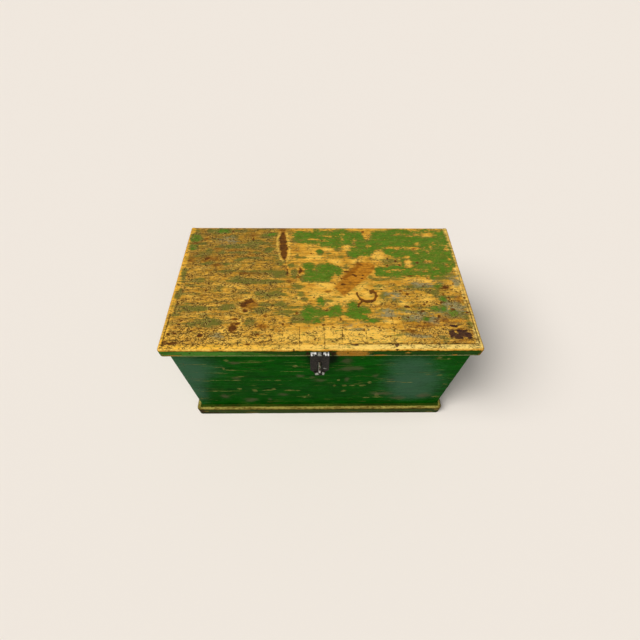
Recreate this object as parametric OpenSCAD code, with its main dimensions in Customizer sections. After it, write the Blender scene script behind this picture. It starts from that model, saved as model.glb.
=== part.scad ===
// Painted pine cash box: a dovetailed carcass on a plinth moulding, with a moulded
// lid on two butt hinges and a slotted hasp that drops over a wire staple.
// Millimetres. The front faces -Y, the lid opens about +X edge-on, and the origin is
// the middle of the underside of the bottom board.

/* [Carcass] */
// Outer width of the carcass, end board to end board
carcass_w = 414; // [300:1:520]
// Outer depth of the carcass, front face to back face
carcass_d = 229; // [160:1:320]
// Height of the front, back and end boards
board_h = 198; // [120:1:260]
// Thickness of the front, back and end boards
wall_t = 12; // [9:0.5:18]
// Thickness of the bottom board
bottom_t = 10; // [7:0.5:16]

/* [Dovetails] */
// Number of tails on each end of the front and back boards
tail_count = 5; // [3:1:7]
// Width of a pin where it shows at the outside of the corner
pin_w = 7; // [4:0.5:12]
// Board thickness per unit of flare on one side of a tail
tail_slope = 6; // [5:0.5:9]

/* [Plinth] */
// Thickness of the plinth moulding
plinth_t = 9; // [6:0.5:16]
// Height of the plinth moulding
plinth_h = 22; // [16:1:40]
// Radius of the plinth's rounded top edge
plinth_r = 5.5; // [1:0.5:8]

/* [Lid] */
// Thickness of the lid board
lid_t = 14; // [12:0.5:22]
// How far the lid moulding hangs below the lid board
lid_lip = 1.5; // [1:0.5:6]
// Thickness of the lid moulding
lid_mould_t = 7.5; // [5:0.5:14]
// Radius of the lid moulding's rounded top edge
lid_mould_r = 4; // [1:0.5:6]
// Radius of the eased lower edge of both mouldings
ease_r = 1; // [0.5:0.25:2]
// Gap between the carcass and the mouldings that lap it
lap_clear = 0.5; // [0.3:0.1:1.5]
// Gap between the top of the carcass and the closed lid board
seat_gap = 0.3; // [0.2:0.1:0.8]

/* [Hinges] */
// Distance of each hinge's middle from its end of the box
hinge_inset = 77; // [50:1:110]
// Length of a hinge
hinge_len = 38; // [28:1:60]
// Width of a hinge leaf, across the edge of the back board
hinge_leaf_w = 10.5; // [8:0.5:12]
// Thickness of a hinge leaf
hinge_leaf_t = 1.2; // [1:0.1:2]
// Outer radius of a hinge knuckle
hinge_knuckle_r = 2.5; // [2.2:0.1:3.5]
// Radius of a hinge pin
hinge_pin_r = 1.1; // [0.8:0.1:1.4]
// Number of knuckles on a hinge
hinge_knuckles = 5; // [3:2:7]

/* [Hasp] */
// Middle of the hasp across the front
hasp_x = -2.5; // [-20:0.5:20]
// Width of the hasp leaf
hasp_w = 26; // [22:0.5:36]
// Thickness of the hasp leaf
hasp_t = 1.5; // [1:0.1:2]
// Length of the hasp's barrel
barrel_w = 25; // [21:0.5:32]
// Length of the barrel's middle knuckle
barrel_mid_w = 9.5; // [7:0.5:12]
// Outer radius of the barrel
barrel_r = 2.8; // [2.5:0.1:3.4]
// Radius of the hasp pin
hasp_pin_r = 1.2; // [0.9:0.1:1.5]
// Depth of the barrel's axis below the top of the lid
barrel_drop = 7; // [6:0.25:8]
// Distance of the barrel's axis in front of the lid moulding
barrel_out = 1.6; // [1.5:0.1:2.4]
// Thickness of the hasp's fixed leaf
fixed_t = 1.3; // [1:0.1:2]
// Width of the hasp's tongue at its tip
tongue_w = 13; // [10:0.5:18]
// Length of each straight side that runs on below the end of the slot
shoulder = 1.5; // [0:0.5:4]
// Metal left below the slot before the tongue turns out
slot_margin = 4; // [3:0.5:8]
// Inner radius of the tongue's curl
curl_r = 4; // [2.5:0.5:6]
// Angle that the tongue turns out through
curl_angle = 85; // [40:5:90]

/* [Staple] */
// Diameter of the staple's wire
wire_d = 3; // [2.4:0.1:4]
// Distance between the middles of the staple's legs
staple_span = 18; // [16:0.5:24]
// Reach of the staple from the face of the front board
staple_out = 20; // [19:0.5:26]
// Distance from the barrel's axis down to the middle of the staple
staple_drop = 31.5; // [30:0.5:42]
// Room around the staple in the hasp's slot
slot_clear = 1; // [0.75:0.25:2.5]
// Length of a clenched staple end on the inside of the front board
clench_len = 9; // [6:0.5:14]

/* [Nails and screws] */
// Radius of the nails that hold the bottom board
bottom_nail_r = 1; // [0.8:0.1:1.4]
// Length of the nails that hold the bottom board
bottom_nail_len = 32; // [24:1:45]
// Radius of the brads that hold the mouldings
brad_r = 0.8; // [0.6:0.1:1.2]
// Depth that the brads reach into the wood behind the mouldings
brad_bite = 8; // [5:0.5:8]
// Radius of the shanks of the hinge and hasp screws
screw_r = 1.1; // [0.9:0.1:1.3]
// Length of the hinge screws
hinge_screw_len = 10; // [8:0.5:11.5]
// Length of the hasp's screws
hasp_screw_len = 16; // [12:0.5:20]

/* [Hidden] */
$fn = 48;

green = "#2f6b2a";
ochre = "#d39a3c";
pine = "#c9a675";
iron = "#3d3a38";
worn_iron = "#8d8b86";

// Running fits and small gaps
pin_fit = 0.05;        // round a pin in the knuckles that turn on it
shank_fit = 0.05;      // round a nail, screw or staple leg in its hole
let_fit = 0.1;         // round a leaf in the recess that it lies in
knuckle_gap = 0.25;    // between neighbouring knuckles
sweep_fit = 0.3;       // round a barrel where it turns past wood or metal
over = 1;              // how far a cutter runs past the face it cuts

// Heights
carcass_top = bottom_t + board_h;
lid_base = carcass_top + seat_gap;
lid_top = lid_base + lid_t;
lid_mould_h = lid_t + lid_lip;
lid_mould_base = lid_top - lid_mould_h;

// Half widths and faces of the carcass and of the lid
half_w = carcass_w / 2;
half_d = carcass_d / 2;
front_y = -half_d;
back_y = half_d;
inner_y = front_y + wall_t;
lid_half_w = half_w + lap_clear;
lid_front_y = front_y - lap_clear;
mould_face_y = lid_front_y - lid_mould_t;

// Dovetails
tail_pitch = board_h / tail_count;
tail_flare = wall_t / tail_slope;

// A fillet stays inside its moulding
plinth_round = min(plinth_r, plinth_t - 0.5);
lid_round = min(lid_mould_r, lid_mould_t - 0.5);

// Hinges
hinge_x = half_w - hinge_inset;
hinge_z = carcass_top + seat_gap / 2;
hinge_stand = 0.2;     // from the back face to the side of the knuckle
hinge_y = back_y + hinge_knuckle_r + hinge_stand;
knuckle_len = hinge_len / hinge_knuckles;
hinge_screw_x = hinge_len / 2 - 3 * hinge_knuckle_r;
hinge_screw_far = 0.6 * hinge_leaf_w;    // outer screws, in from the back face
hinge_screw_near = 0.35 * hinge_leaf_w;  // middle screw, in from the back face

// Screws: a 45 degree head, flush in its leaf, with a driver slot
screw_head_h = 1;
screw_head_r = screw_r + screw_head_h;
driver_w = 0.6;
driver_depth = 0.5;

// Nails
bottom_nail_head_r = bottom_nail_r * 2.3;
brad_head_r = brad_r * 1.7;
nail_head_t = 1;
plinth_brad_z = (bottom_t + plinth_h) / 2;
lid_brad_z = lid_base + lid_t / 2;

// Hasp
barrel_z = lid_top - barrel_drop;
barrel_y = mould_face_y - barrel_out;
side_knuckle_w = (barrel_w - barrel_mid_w) / 2;
staple_z = barrel_z - staple_drop;
fixed_base_z = lid_mould_base + 0.7;
fixed_screw_z = barrel_z - barrel_r - screw_head_r - sweep_fit;
fixed_screw_x = barrel_w / 2 - 2 * screw_head_r;
slot_half = staple_span / 2 + wire_d / 2 + slot_clear;
slot_w = wire_d + 2 * slot_clear;
slot_low_z = staple_z - slot_half;
leaf_base_z = slot_low_z - slot_margin;

// Staple
wire_r = wire_d / 2;
bow_r = staple_span / 2;
bow_y = front_y - staple_out + wire_r + bow_r;
bend_r = wire_r + 0.1;

// ---------- shared shapes ----------

// Tails on one end of a board, seen from the front: x runs inwards from the outer face
module tails_2d() {
    for (i = [0 : tail_count - 1]) {
        mid = (i + 0.5) * tail_pitch;
        wide = (tail_pitch - pin_w) / 2;
        narrow = wide - tail_flare;
        polygon([[0, mid - wide], [wall_t, mid - narrow], [wall_t, mid + narrow], [0, mid + wide]]);
    }
}

// Front or back board: a plain board between rows of tails, standing on its edge
module tail_board() {
    rotate([90, 0, 0])
        linear_extrude(wall_t)
            union() {
                translate([-half_w + wall_t, 0]) square([carcass_w - 2 * wall_t, board_h]);
                translate([-half_w, 0]) tails_2d();
                translate([half_w, 0]) mirror([1, 0]) tails_2d();
            }
}

// Right end board, with the pins that fill the gaps between the tails
module pin_board() {
    translate([half_w - wall_t, inner_y, bottom_t])
        cube([wall_t, carcass_d - 2 * wall_t, board_h]);
    for (y = [inner_y, back_y])
        translate([half_w, y, bottom_t])
            rotate([90, 0, 0])
                linear_extrude(wall_t)
                    mirror([1, 0])
                        difference() {
                            square([wall_t, board_h]);
                            tails_2d();
                        }
}

// What a fillet of radius r takes off a corner, from the fillet's centre outwards
module corner_cut_2d(r) {
    difference() {
        square(r + over);
        circle(r);
    }
}

// Section of a moulding: back on the line x = 0, face at x = t, top outer edge rounded
module moulding_2d(t, h, r) {
    difference() {
        square([t, h]);
        translate([t - r, h - r]) corner_cut_2d(r);
        translate([t - ease_r, ease_r]) mirror([0, 1]) corner_cut_2d(ease_r);
    }
}

// Radius of a moulding's outer corner seen from above, a little over its top rounding
function corner_r(t, r) = min(t, 1.25 * r);

// What the rounding of an outer corner takes off, about the Z axis through its centre
module corner_rounding(t, h, r) {
    c = corner_r(t, r);
    rotate_extrude(angle = 60) {
        translate([c, -over]) square([c, h + 2 * over]);
        translate([c - r, h - r]) corner_cut_2d(r);
        translate([c - ease_r, ease_r]) mirror([0, 1]) corner_cut_2d(ease_r);
    }
}

// A run of moulding along X, its back on the plane y = 0 and its face at y = -t
module moulding_run(len, t, h, r) {
    translate([-len / 2, 0, 0])
        rotate([90, 0, 90])
            linear_extrude(len)
                mirror([1, 0]) moulding_2d(t, h, r);
}

// Front moulding, mitred at both ends where the side mouldings meet it
module front_moulding(half, y, t, h, r) {
    c = corner_r(t, r);
    difference() {
        intersection() {
            translate([0, y, 0]) moulding_run(2 * (half + t), t, h, r);
            translate([0, 0, -over])
                linear_extrude(h + 2 * over)
                    polygon([[-half, y], [-half - t, y - t], [half + t, y - t], [half, y]]);
        }
        for (side = [0, 1])
            mirror([side, 0, 0])
                translate([half + t - c, y - t + c, 0])
                    rotate([0, 0, -90]) corner_rounding(t, h, r);
    }
}

// Right moulding, mitred at the front and square at the back
module right_moulding(half, y, t, h, r) {
    run = 2 * (back_y - y + t);
    c = corner_r(t, r);
    difference() {
        intersection() {
            translate([half, back_y, 0]) rotate([0, 0, 90]) moulding_run(run, t, h, r);
            translate([0, 0, -over])
                linear_extrude(h + 2 * over)
                    polygon([[half, y], [half + t, y - t], [half + t, back_y], [half, back_y]]);
        }
        translate([half + t - c, y - t + c, 0]) mirror([0, 1, 0]) corner_rounding(t, h, r);
    }
}

// A nail pointing up +Z from its flush head at z = 0; fit is added all round
module nail(r, head_r, len, fit) {
    translate([0, 0, -fit]) cylinder(h = nail_head_t + 2 * fit, r = head_r + fit);
    cylinder(h = len + fit, r = r + fit);
}

// The nails of the bottom board, driven up into the edges of the four boards
module bottom_nail_set(fit) {
    edge_y = half_d - wall_t / 2;
    edge_x = half_w - wall_t / 2;
    for (y = [-edge_y, edge_y])
        for (k = [-3 : 2 : 3])
            translate([k * carcass_w / 8, y, 0])
                nail(bottom_nail_r, bottom_nail_head_r, bottom_nail_len, fit);
    for (x = [-edge_x, edge_x])
        for (k = [-1 : 1])
            translate([x, k * carcass_d / 4, 0])
                nail(bottom_nail_r, bottom_nail_head_r, bottom_nail_len, fit);
}

// Brads driven inwards through a moulding on the front and both sides
module brad_set(half, y, t, z, fit) {
    for (k = [-5 : 2 : 5])
        translate([k * half / 6, y - t, z])
            rotate([-90, 0, 0]) nail(brad_r, brad_head_r, t + brad_bite, fit);
    for (side = [-1, 1])
        for (k = [-3 : 2 : 3])
            translate([side * (half + t), k * carcass_d / 8, z])
                rotate([0, -side * 90, 0]) nail(brad_r, brad_head_r, t + brad_bite, fit);
}

module plinth_brad_set(fit) {
    brad_set(half_w, front_y, plinth_t, plinth_brad_z, fit);
}

module lid_brad_set(fit) {
    brad_set(lid_half_w, lid_front_y, lid_mould_t, lid_brad_z, fit);
}

// A screw pointing down -Z from its flush head at z = 0
module screw_solid(len) {
    difference() {
        union() {
            translate([0, 0, -screw_head_h])
                cylinder(h = screw_head_h, r1 = screw_r, r2 = screw_head_r);
            translate([0, 0, -len]) cylinder(h = len, r = screw_r);
        }
        translate([-screw_head_r - over, -driver_w / 2, -driver_depth])
            cube([2 * (screw_head_r + over), driver_w, driver_depth + over]);
    }
}

// The hole that such a screw fills in its leaf and in the wood
module screw_hole(len) {
    translate([0, 0, -screw_head_h - shank_fit])
        cylinder(h = screw_head_h + 2 * shank_fit, r1 = screw_r + shank_fit,
            r2 = screw_head_r + 2 * shank_fit);
    translate([0, 0, -len - shank_fit])
        cylinder(h = len + 2 * shank_fit, r = screw_r + shank_fit);
}

// Places of one hinge's screws along and across its leaf
module at_hinge_screws() {
    for (k = [-1, 1])
        translate([k * hinge_screw_x, back_y - hinge_screw_far, 0]) children();
    translate([0, back_y - hinge_screw_near, 0]) children();
}

// ---------- hinges ----------

// Leaf of a hinge, flat on z = 0 and going up, with knuckles of the given parity
module hinge_leaf(parity) {
    axis_z = -seat_gap / 2;
    difference() {
        union() {
            translate([-hinge_len / 2, back_y - hinge_leaf_w, 0])
                cube([hinge_len, hinge_leaf_w, hinge_leaf_t]);
            for (i = [parity : 2 : hinge_knuckles - 1])
                translate([-hinge_len / 2 + i * knuckle_len + knuckle_gap / 2, 0, 0]) {
                    translate([0, hinge_y, axis_z])
                        rotate([0, 90, 0])
                            cylinder(h = knuckle_len - knuckle_gap, r = hinge_knuckle_r);
                    translate([0, back_y - over, 0])
                        cube([knuckle_len - knuckle_gap, hinge_y - back_y + over, hinge_leaf_t]);
                }
        }
        translate([-hinge_len / 2 - over, hinge_y, axis_z])
            rotate([0, 90, 0])
                cylinder(h = hinge_len + 2 * over, r = hinge_pin_r + pin_fit);
        at_hinge_screws() mirror([0, 0, 1]) screw_hole(hinge_screw_len);
    }
}

// Recess that a leaf lies in
module leaf_recess() {
    translate([-hinge_len / 2 - let_fit, back_y - hinge_leaf_w - let_fit, -over])
        cube([hinge_len + 2 * let_fit, hinge_leaf_w + let_fit + over, hinge_leaf_t + let_fit + over]);
}

module hinge_pin() {
    translate([-hinge_len / 2, hinge_y, hinge_z])
        rotate([0, 90, 0]) cylinder(h = hinge_len, r = hinge_pin_r);
}

// Places of the two hinges
module at_hinges() {
    for (side = [-1, 1])
        translate([side * hinge_x, 0, 0]) children();
}

// Turns a shape that goes up from a lid face into one that goes down from the carcass
module on_carcass() {
    translate([0, 0, carcass_top]) mirror([0, 0, 1]) children();
}

module on_lid() {
    translate([0, 0, lid_base]) children();
}

// ---------- carcass ----------

module front_board() {
    color(green)
        difference() {
            translate([0, inner_y, bottom_t]) tail_board();
            bottom_nail_set(shank_fit);
            plinth_brad_set(shank_fit);
            for (k = [-1, 1])
                translate([hasp_x, front_y - over, staple_z + k * bow_r])
                    rotate([-90, 0, 0]) cylinder(h = wall_t + 2 * over, r = wire_r + shank_fit);
        }
}

module back_board() {
    color(green)
        difference() {
            translate([0, back_y, bottom_t]) tail_board();
            bottom_nail_set(shank_fit);
            at_hinges() on_carcass() leaf_recess();
            at_hinges() on_carcass() at_hinge_screws() mirror([0, 0, 1]) screw_hole(hinge_screw_len);
        }
}

module right_end() {
    difference() {
        pin_board();
        bottom_nail_set(shank_fit);
        plinth_brad_set(shank_fit);
    }
}

module left_end_board() {
    color(green) mirror([1, 0, 0]) right_end();
}

module right_end_board() {
    color(green) right_end();
}

module bottom_board() {
    color(pine)
        difference() {
            translate([-half_w, front_y, 0]) cube([carcass_w, carcass_d, bottom_t]);
            bottom_nail_set(shank_fit);
        }
}

module plinth_front() {
    color(ochre)
        difference() {
            front_moulding(half_w, front_y, plinth_t, plinth_h, plinth_round);
            plinth_brad_set(shank_fit);
        }
}

module plinth_side() {
    difference() {
        right_moulding(half_w, front_y, plinth_t, plinth_h, plinth_round);
        plinth_brad_set(shank_fit);
    }
}

module plinth_left() {
    color(ochre) mirror([1, 0, 0]) plinth_side();
}

module plinth_right() {
    color(ochre) plinth_side();
}

module bottom_nails() {
    color(iron) bottom_nail_set(0);
}

module plinth_brads() {
    color(iron) plinth_brad_set(0);
}

// Wire loop through the front board, its ends clenched up and down inside
module staple() {
    color(iron)
        translate([hasp_x, 0, staple_z]) {
            translate([0, bow_y, 0])
                rotate([180, -90, 0])
                    rotate_extrude(angle = 180)
                        translate([bow_r, 0]) circle(wire_r);
            staple_leg();
            mirror([0, 0, 1]) staple_leg();
        }
}

// Upper leg: straight through the board, a tight bend, then a tapering point
module staple_leg() {
    tip_len = clench_len / 3;
    translate([0, bow_y, bow_r])
        rotate([-90, 0, 0]) cylinder(h = inner_y - bow_y, r = wire_r);
    translate([0, inner_y, bow_r + bend_r])
        rotate([0, 90, 0])
            rotate_extrude(angle = 90)
                translate([bend_r, 0]) circle(wire_r);
    translate([0, inner_y + bend_r, bow_r + bend_r]) {
        cylinder(h = clench_len - tip_len, r = wire_r);
        translate([0, 0, clench_len - tip_len])
            cylinder(h = tip_len, r1 = wire_r, r2 = wire_r / 3);
    }
}

module box_leaf() {
    color(iron) on_carcass() hinge_leaf(0);
}

module hinge_box_leaf_left() {
    translate([-hinge_x, 0, 0]) box_leaf();
}

module hinge_box_leaf_right() {
    translate([hinge_x, 0, 0]) box_leaf();
}

module hinge_pin_left() {
    color(worn_iron) translate([-hinge_x, 0, 0]) hinge_pin();
}

module hinge_pin_right() {
    color(worn_iron) translate([hinge_x, 0, 0]) hinge_pin();
}

module hinge_box_screws() {
    color(iron)
        at_hinges()
            translate([0, 0, carcass_top]) at_hinge_screws() screw_solid(hinge_screw_len);
}

// ---------- lid ----------

module lid_board() {
    color(ochre)
        difference() {
            translate([-lid_half_w, lid_front_y, lid_base])
                cube([2 * lid_half_w, back_y - lid_front_y, lid_t]);
            lid_brad_set(shank_fit);
            at_hinges() on_lid() leaf_recess();
            at_hinges() on_lid() at_hinge_screws() mirror([0, 0, 1]) screw_hole(hinge_screw_len);
            at_fixed_screws() screw_hole(hasp_screw_len);
        }
}

module lid_moulding_front() {
    color(ochre)
        difference() {
            translate([0, 0, lid_mould_base])
                front_moulding(lid_half_w, lid_front_y, lid_mould_t, lid_mould_h, lid_round);
            lid_brad_set(shank_fit);
            fixed_leaf_recess();
            at_fixed_screws() screw_hole(hasp_screw_len);
        }
}

module lid_side_moulding() {
    difference() {
        translate([0, 0, lid_mould_base])
            right_moulding(lid_half_w, lid_front_y, lid_mould_t, lid_mould_h, lid_round);
        lid_brad_set(shank_fit);
    }
}

module lid_moulding_left() {
    color(ochre) mirror([1, 0, 0]) lid_side_moulding();
}

module lid_moulding_right() {
    color(ochre) lid_side_moulding();
}

module lid_brads() {
    color(iron) lid_brad_set(0);
}

module lid_leaf() {
    color(iron) on_lid() hinge_leaf(1);
}

module hinge_lid_leaf_left() {
    translate([-hinge_x, 0, 0]) lid_leaf();
}

module hinge_lid_leaf_right() {
    translate([hinge_x, 0, 0]) lid_leaf();
}

module hinge_lid_screws() {
    color(iron)
        at_hinges() on_lid() at_hinge_screws() mirror([0, 0, 1]) screw_solid(hinge_screw_len);
}

// ---------- hasp ----------

// A cylinder along X about the barrel's axis
module barrel_cylinder(len, r) {
    translate([hasp_x - len / 2, barrel_y, barrel_z])
        rotate([0, 90, 0]) cylinder(h = len, r = r);
}

// Places of the fixed leaf's screws, which point in through the moulding
module at_fixed_screws() {
    for (k = [-1, 0, 1])
        translate([hasp_x + k * fixed_screw_x, mould_face_y, fixed_screw_z])
            rotate([90, 0, 0]) children();
}

// The shallow pocket and cove that the fixed leaf and the barrel lie in
module fixed_leaf_recess() {
    translate([hasp_x - barrel_w / 2 - let_fit, mould_face_y - over, fixed_base_z - let_fit])
        cube([barrel_w + 2 * let_fit, fixed_t + let_fit + over, barrel_z - fixed_base_z + let_fit]);
    barrel_cylinder(barrel_w + 2 * let_fit, barrel_r + sweep_fit);
}

module hasp_fixed_leaf() {
    color(iron)
        difference() {
            union() {
                translate([hasp_x - barrel_w / 2, mould_face_y, fixed_base_z])
                    cube([barrel_w, fixed_t, barrel_z - fixed_base_z]);
                barrel_cylinder(barrel_w, barrel_r);
            }
            barrel_cylinder(barrel_mid_w, barrel_r + sweep_fit);
            barrel_cylinder(barrel_w + 2 * over, hasp_pin_r + pin_fit);
            at_fixed_screws() screw_hole(hasp_screw_len);
        }
}

module hasp_screws() {
    color(iron) at_fixed_screws() screw_solid(hasp_screw_len);
}

module hasp_pin() {
    color(worn_iron) barrel_cylinder(barrel_w, hasp_pin_r);
}

// Outline of the leaf seen from the front: straight sides, then a taper to the tongue
module leaf_outline_2d() {
    top_z = barrel_z - barrel_r - sweep_fit;
    side_z = slot_low_z - shoulder;
    tip_z = side_z - (hasp_w - tongue_w) / 2;
    polygon([
        [-hasp_w / 2, top_z], [-hasp_w / 2, side_z], [-tongue_w / 2, tip_z],
        [-tongue_w / 2, tip_z - hasp_w], [tongue_w / 2, tip_z - hasp_w],
        [tongue_w / 2, tip_z], [hasp_w / 2, side_z], [hasp_w / 2, top_z]
    ]);
}

// Upright slot, round at both ends, that the staple comes through
module leaf_slot_2d() {
    for (k = [-1, 1])
        translate([0, staple_z + k * (slot_half - slot_w / 2)]) circle(slot_w / 2);
    translate([-slot_w / 2, staple_z - slot_half + slot_w / 2])
        square([slot_w, 2 * slot_half - slot_w]);
}

// Full-width strip: a flat down from the barrel, then a curl outwards
module leaf_strip() {
    translate([-hasp_w / 2, barrel_y - hasp_t / 2, leaf_base_z])
        cube([hasp_w, hasp_t, barrel_z - leaf_base_z]);
    translate([0, barrel_y - curl_r - hasp_t / 2, leaf_base_z])
        rotate([-90, 0, 90])
            rotate_extrude(angle = curl_angle)
                translate([curl_r, -hasp_w / 2]) square([hasp_t, hasp_w]);
}

// The slotted leaf on its middle knuckle
module hasp_leaf() {
    knuckle_w = barrel_mid_w - 2 * knuckle_gap;
    web_h = barrel_r + sweep_fit + over;
    color(iron)
        difference() {
            union() {
                barrel_cylinder(knuckle_w, barrel_r);
                translate([hasp_x - knuckle_w / 2, barrel_y - hasp_t / 2, barrel_z - web_h])
                    cube([knuckle_w, hasp_t, web_h]);
                translate([hasp_x, 0, 0])
                    intersection() {
                        leaf_strip();
                        translate([0, barrel_y + hasp_w, 0])
                            rotate([90, 0, 0])
                                linear_extrude(2 * hasp_w)
                                    difference() {
                                        leaf_outline_2d();
                                        leaf_slot_2d();
                                    }
                    }
            }
            barrel_cylinder(barrel_w, hasp_pin_r + pin_fit);
        }
}

front_board();
back_board();
left_end_board();
right_end_board();
bottom_board();
plinth_front();
plinth_left();
plinth_right();
bottom_nails();
plinth_brads();
staple();
hinge_box_leaf_left();
hinge_box_leaf_right();
hinge_pin_left();
hinge_pin_right();
hinge_box_screws();
lid_board();
lid_moulding_front();
lid_moulding_left();
lid_moulding_right();
lid_brads();
hinge_lid_leaf_left();
hinge_lid_leaf_right();
hinge_lid_screws();
hasp_fixed_leaf();
hasp_screws();
hasp_pin();
hasp_leaf();
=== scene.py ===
"""Old paint, bare pine and rubbed iron for a dovetailed cash box.

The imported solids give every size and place.  Boards, mouldings and ironwork are
remade from them with eased arrises, dents and gouges, and each gets its finish.
Marks are placed in millimetres: x to the right, y to the back and z up, from the
middle of the underside.
"""

import math

import bmesh
import bpy
import numpy as np
from mathutils import Matrix, Vector, noise


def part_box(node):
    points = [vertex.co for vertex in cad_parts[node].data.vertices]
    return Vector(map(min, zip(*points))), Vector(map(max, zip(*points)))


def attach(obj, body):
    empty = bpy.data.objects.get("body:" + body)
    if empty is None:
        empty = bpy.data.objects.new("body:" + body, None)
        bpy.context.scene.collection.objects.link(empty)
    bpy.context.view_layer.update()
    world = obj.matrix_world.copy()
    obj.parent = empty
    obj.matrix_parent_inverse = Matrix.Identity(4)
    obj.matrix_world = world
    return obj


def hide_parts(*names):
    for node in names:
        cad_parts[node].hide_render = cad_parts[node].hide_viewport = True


MM = 0.001
WHOLE = 1000  # a radius in mm that reaches past the whole box

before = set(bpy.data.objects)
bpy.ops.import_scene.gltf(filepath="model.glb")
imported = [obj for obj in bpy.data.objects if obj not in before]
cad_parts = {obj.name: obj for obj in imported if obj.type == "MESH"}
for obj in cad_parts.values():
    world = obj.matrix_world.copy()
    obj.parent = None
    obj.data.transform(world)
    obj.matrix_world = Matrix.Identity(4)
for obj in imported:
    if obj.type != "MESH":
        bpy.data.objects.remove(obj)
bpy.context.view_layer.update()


# ---------- camera, floor and light ----------


def set_camera():
    """Stands in front of the box, a little left of its middle, and looks down on the lid."""
    lens = 20.19
    place = Vector((-10.0, -358.1, 626.6)) * MM
    pitch, yaw, roll = math.radians(54.91), math.radians(-1.62), math.radians(1.225)
    data = bpy.data.cameras.new("camera")
    data.sensor_width = 36
    data.lens = lens
    camera = bpy.data.objects.new("camera", data)
    bpy.context.collection.objects.link(camera)
    turn = Matrix.Rotation(yaw, 4, "Z") @ Matrix.Rotation(math.pi / 2 - pitch, 4, "X")
    camera.matrix_world = Matrix.Translation(place) @ turn @ Matrix.Rotation(roll, 4, "Z")
    bpy.context.scene.camera = camera


def seen_share(nodes, links):
    """1 on rays that the camera, a gloss or a glass sends out, and 0 on light that is scattered."""
    path = nodes.new("ShaderNodeLightPath")
    camera_or_gloss = nodes.new("ShaderNodeMath")
    camera_or_gloss.operation = "MAXIMUM"
    links.new(path.outputs["Is Camera Ray"], camera_or_gloss.inputs[0])
    links.new(path.outputs["Is Glossy Ray"], camera_or_gloss.inputs[1])
    any_of_them = nodes.new("ShaderNodeMath")
    any_of_them.operation = "MAXIMUM"
    links.new(camera_or_gloss.outputs[0], any_of_them.inputs[0])
    links.new(path.outputs["Is Transmission Ray"], any_of_them.inputs[1])
    return any_of_them.outputs[0]


def set_floor():
    """A wide pale floor that sends little of its light back up on the box."""
    shape = bmesh.new()
    bmesh.ops.create_circle(shape, cap_ends=True, segments=96, radius=14)
    mesh = bpy.data.meshes.new("floor")
    shape.to_mesh(mesh)
    shape.free()
    floor = bpy.data.objects.new("floor", mesh)
    bpy.context.collection.objects.link(floor)
    material = bpy.data.materials.new("floor")
    material.use_nodes = True
    nodes, links = material.node_tree.nodes, material.node_tree.links
    tone = nodes.new("ShaderNodeMix")
    tone.data_type = "RGBA"
    tone.inputs[6].default_value = srgb("#8C8984")
    tone.inputs[7].default_value = srgb("#F0E9E1")
    links.new(seen_share(nodes, links), tone.inputs[0])
    shader = nodes["Principled BSDF"]
    links.new(tone.outputs[2], shader.inputs["Base Color"])
    shader.inputs["Roughness"].default_value = 1
    shader.inputs["Specular IOR Level"].default_value = 0
    mesh.materials.append(material)


def add_lamp(name, towards, floor_light, angle):
    """A far, broad lamp that gives the floor that share of its light."""
    direction = Vector(towards).normalized()
    lamp = bpy.data.lights.new(name, "SUN")
    lamp.energy = floor_light * math.pi / direction.z
    lamp.angle = math.radians(angle)
    lamp.color = (1.0, 0.985, 0.96)
    lamp_object = bpy.data.objects.new(name, lamp)
    bpy.context.collection.objects.link(lamp_object)
    lamp_object.rotation_mode = "QUATERNION"
    lamp_object.rotation_quaternion = direction.to_track_quat("Z", "Y")


def set_light():
    """Even sky light, a broad window high on the left and a fill from behind the camera."""
    world = bpy.data.worlds.new("studio")
    bpy.context.scene.world = world
    world.use_nodes = True
    nodes, links = world.node_tree.nodes, world.node_tree.links
    background = nodes["Background"]
    tone = nodes.new("ShaderNodeMix")
    tone.data_type = "RGBA"
    tone.inputs[6].default_value = (0.11, 0.11, 0.113, 1)
    tone.inputs[7].default_value = srgb("#F0E9E1")
    links.new(seen_share(nodes, links), tone.inputs[0])
    links.new(tone.outputs[2], background.inputs["Color"])
    add_lamp("window", (-0.76, -0.28, 1.0), 0.72, 36)
    add_lamp("fill", (0.1, -1.0, 0.9), 0.17, 70)
    bpy.context.scene.view_settings.view_transform = "Standard"


# ---------- finishes: what every material is put together from ----------


def srgb(code):
    """A colour as it is written on a card, in linear light."""
    parts = [int(code[i : i + 2], 16) / 255 for i in (1, 3, 5)]
    return (*[c / 12.92 if c <= 0.04045 else ((c + 0.055) / 1.055) ** 2.4 for c in parts], 1)


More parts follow.
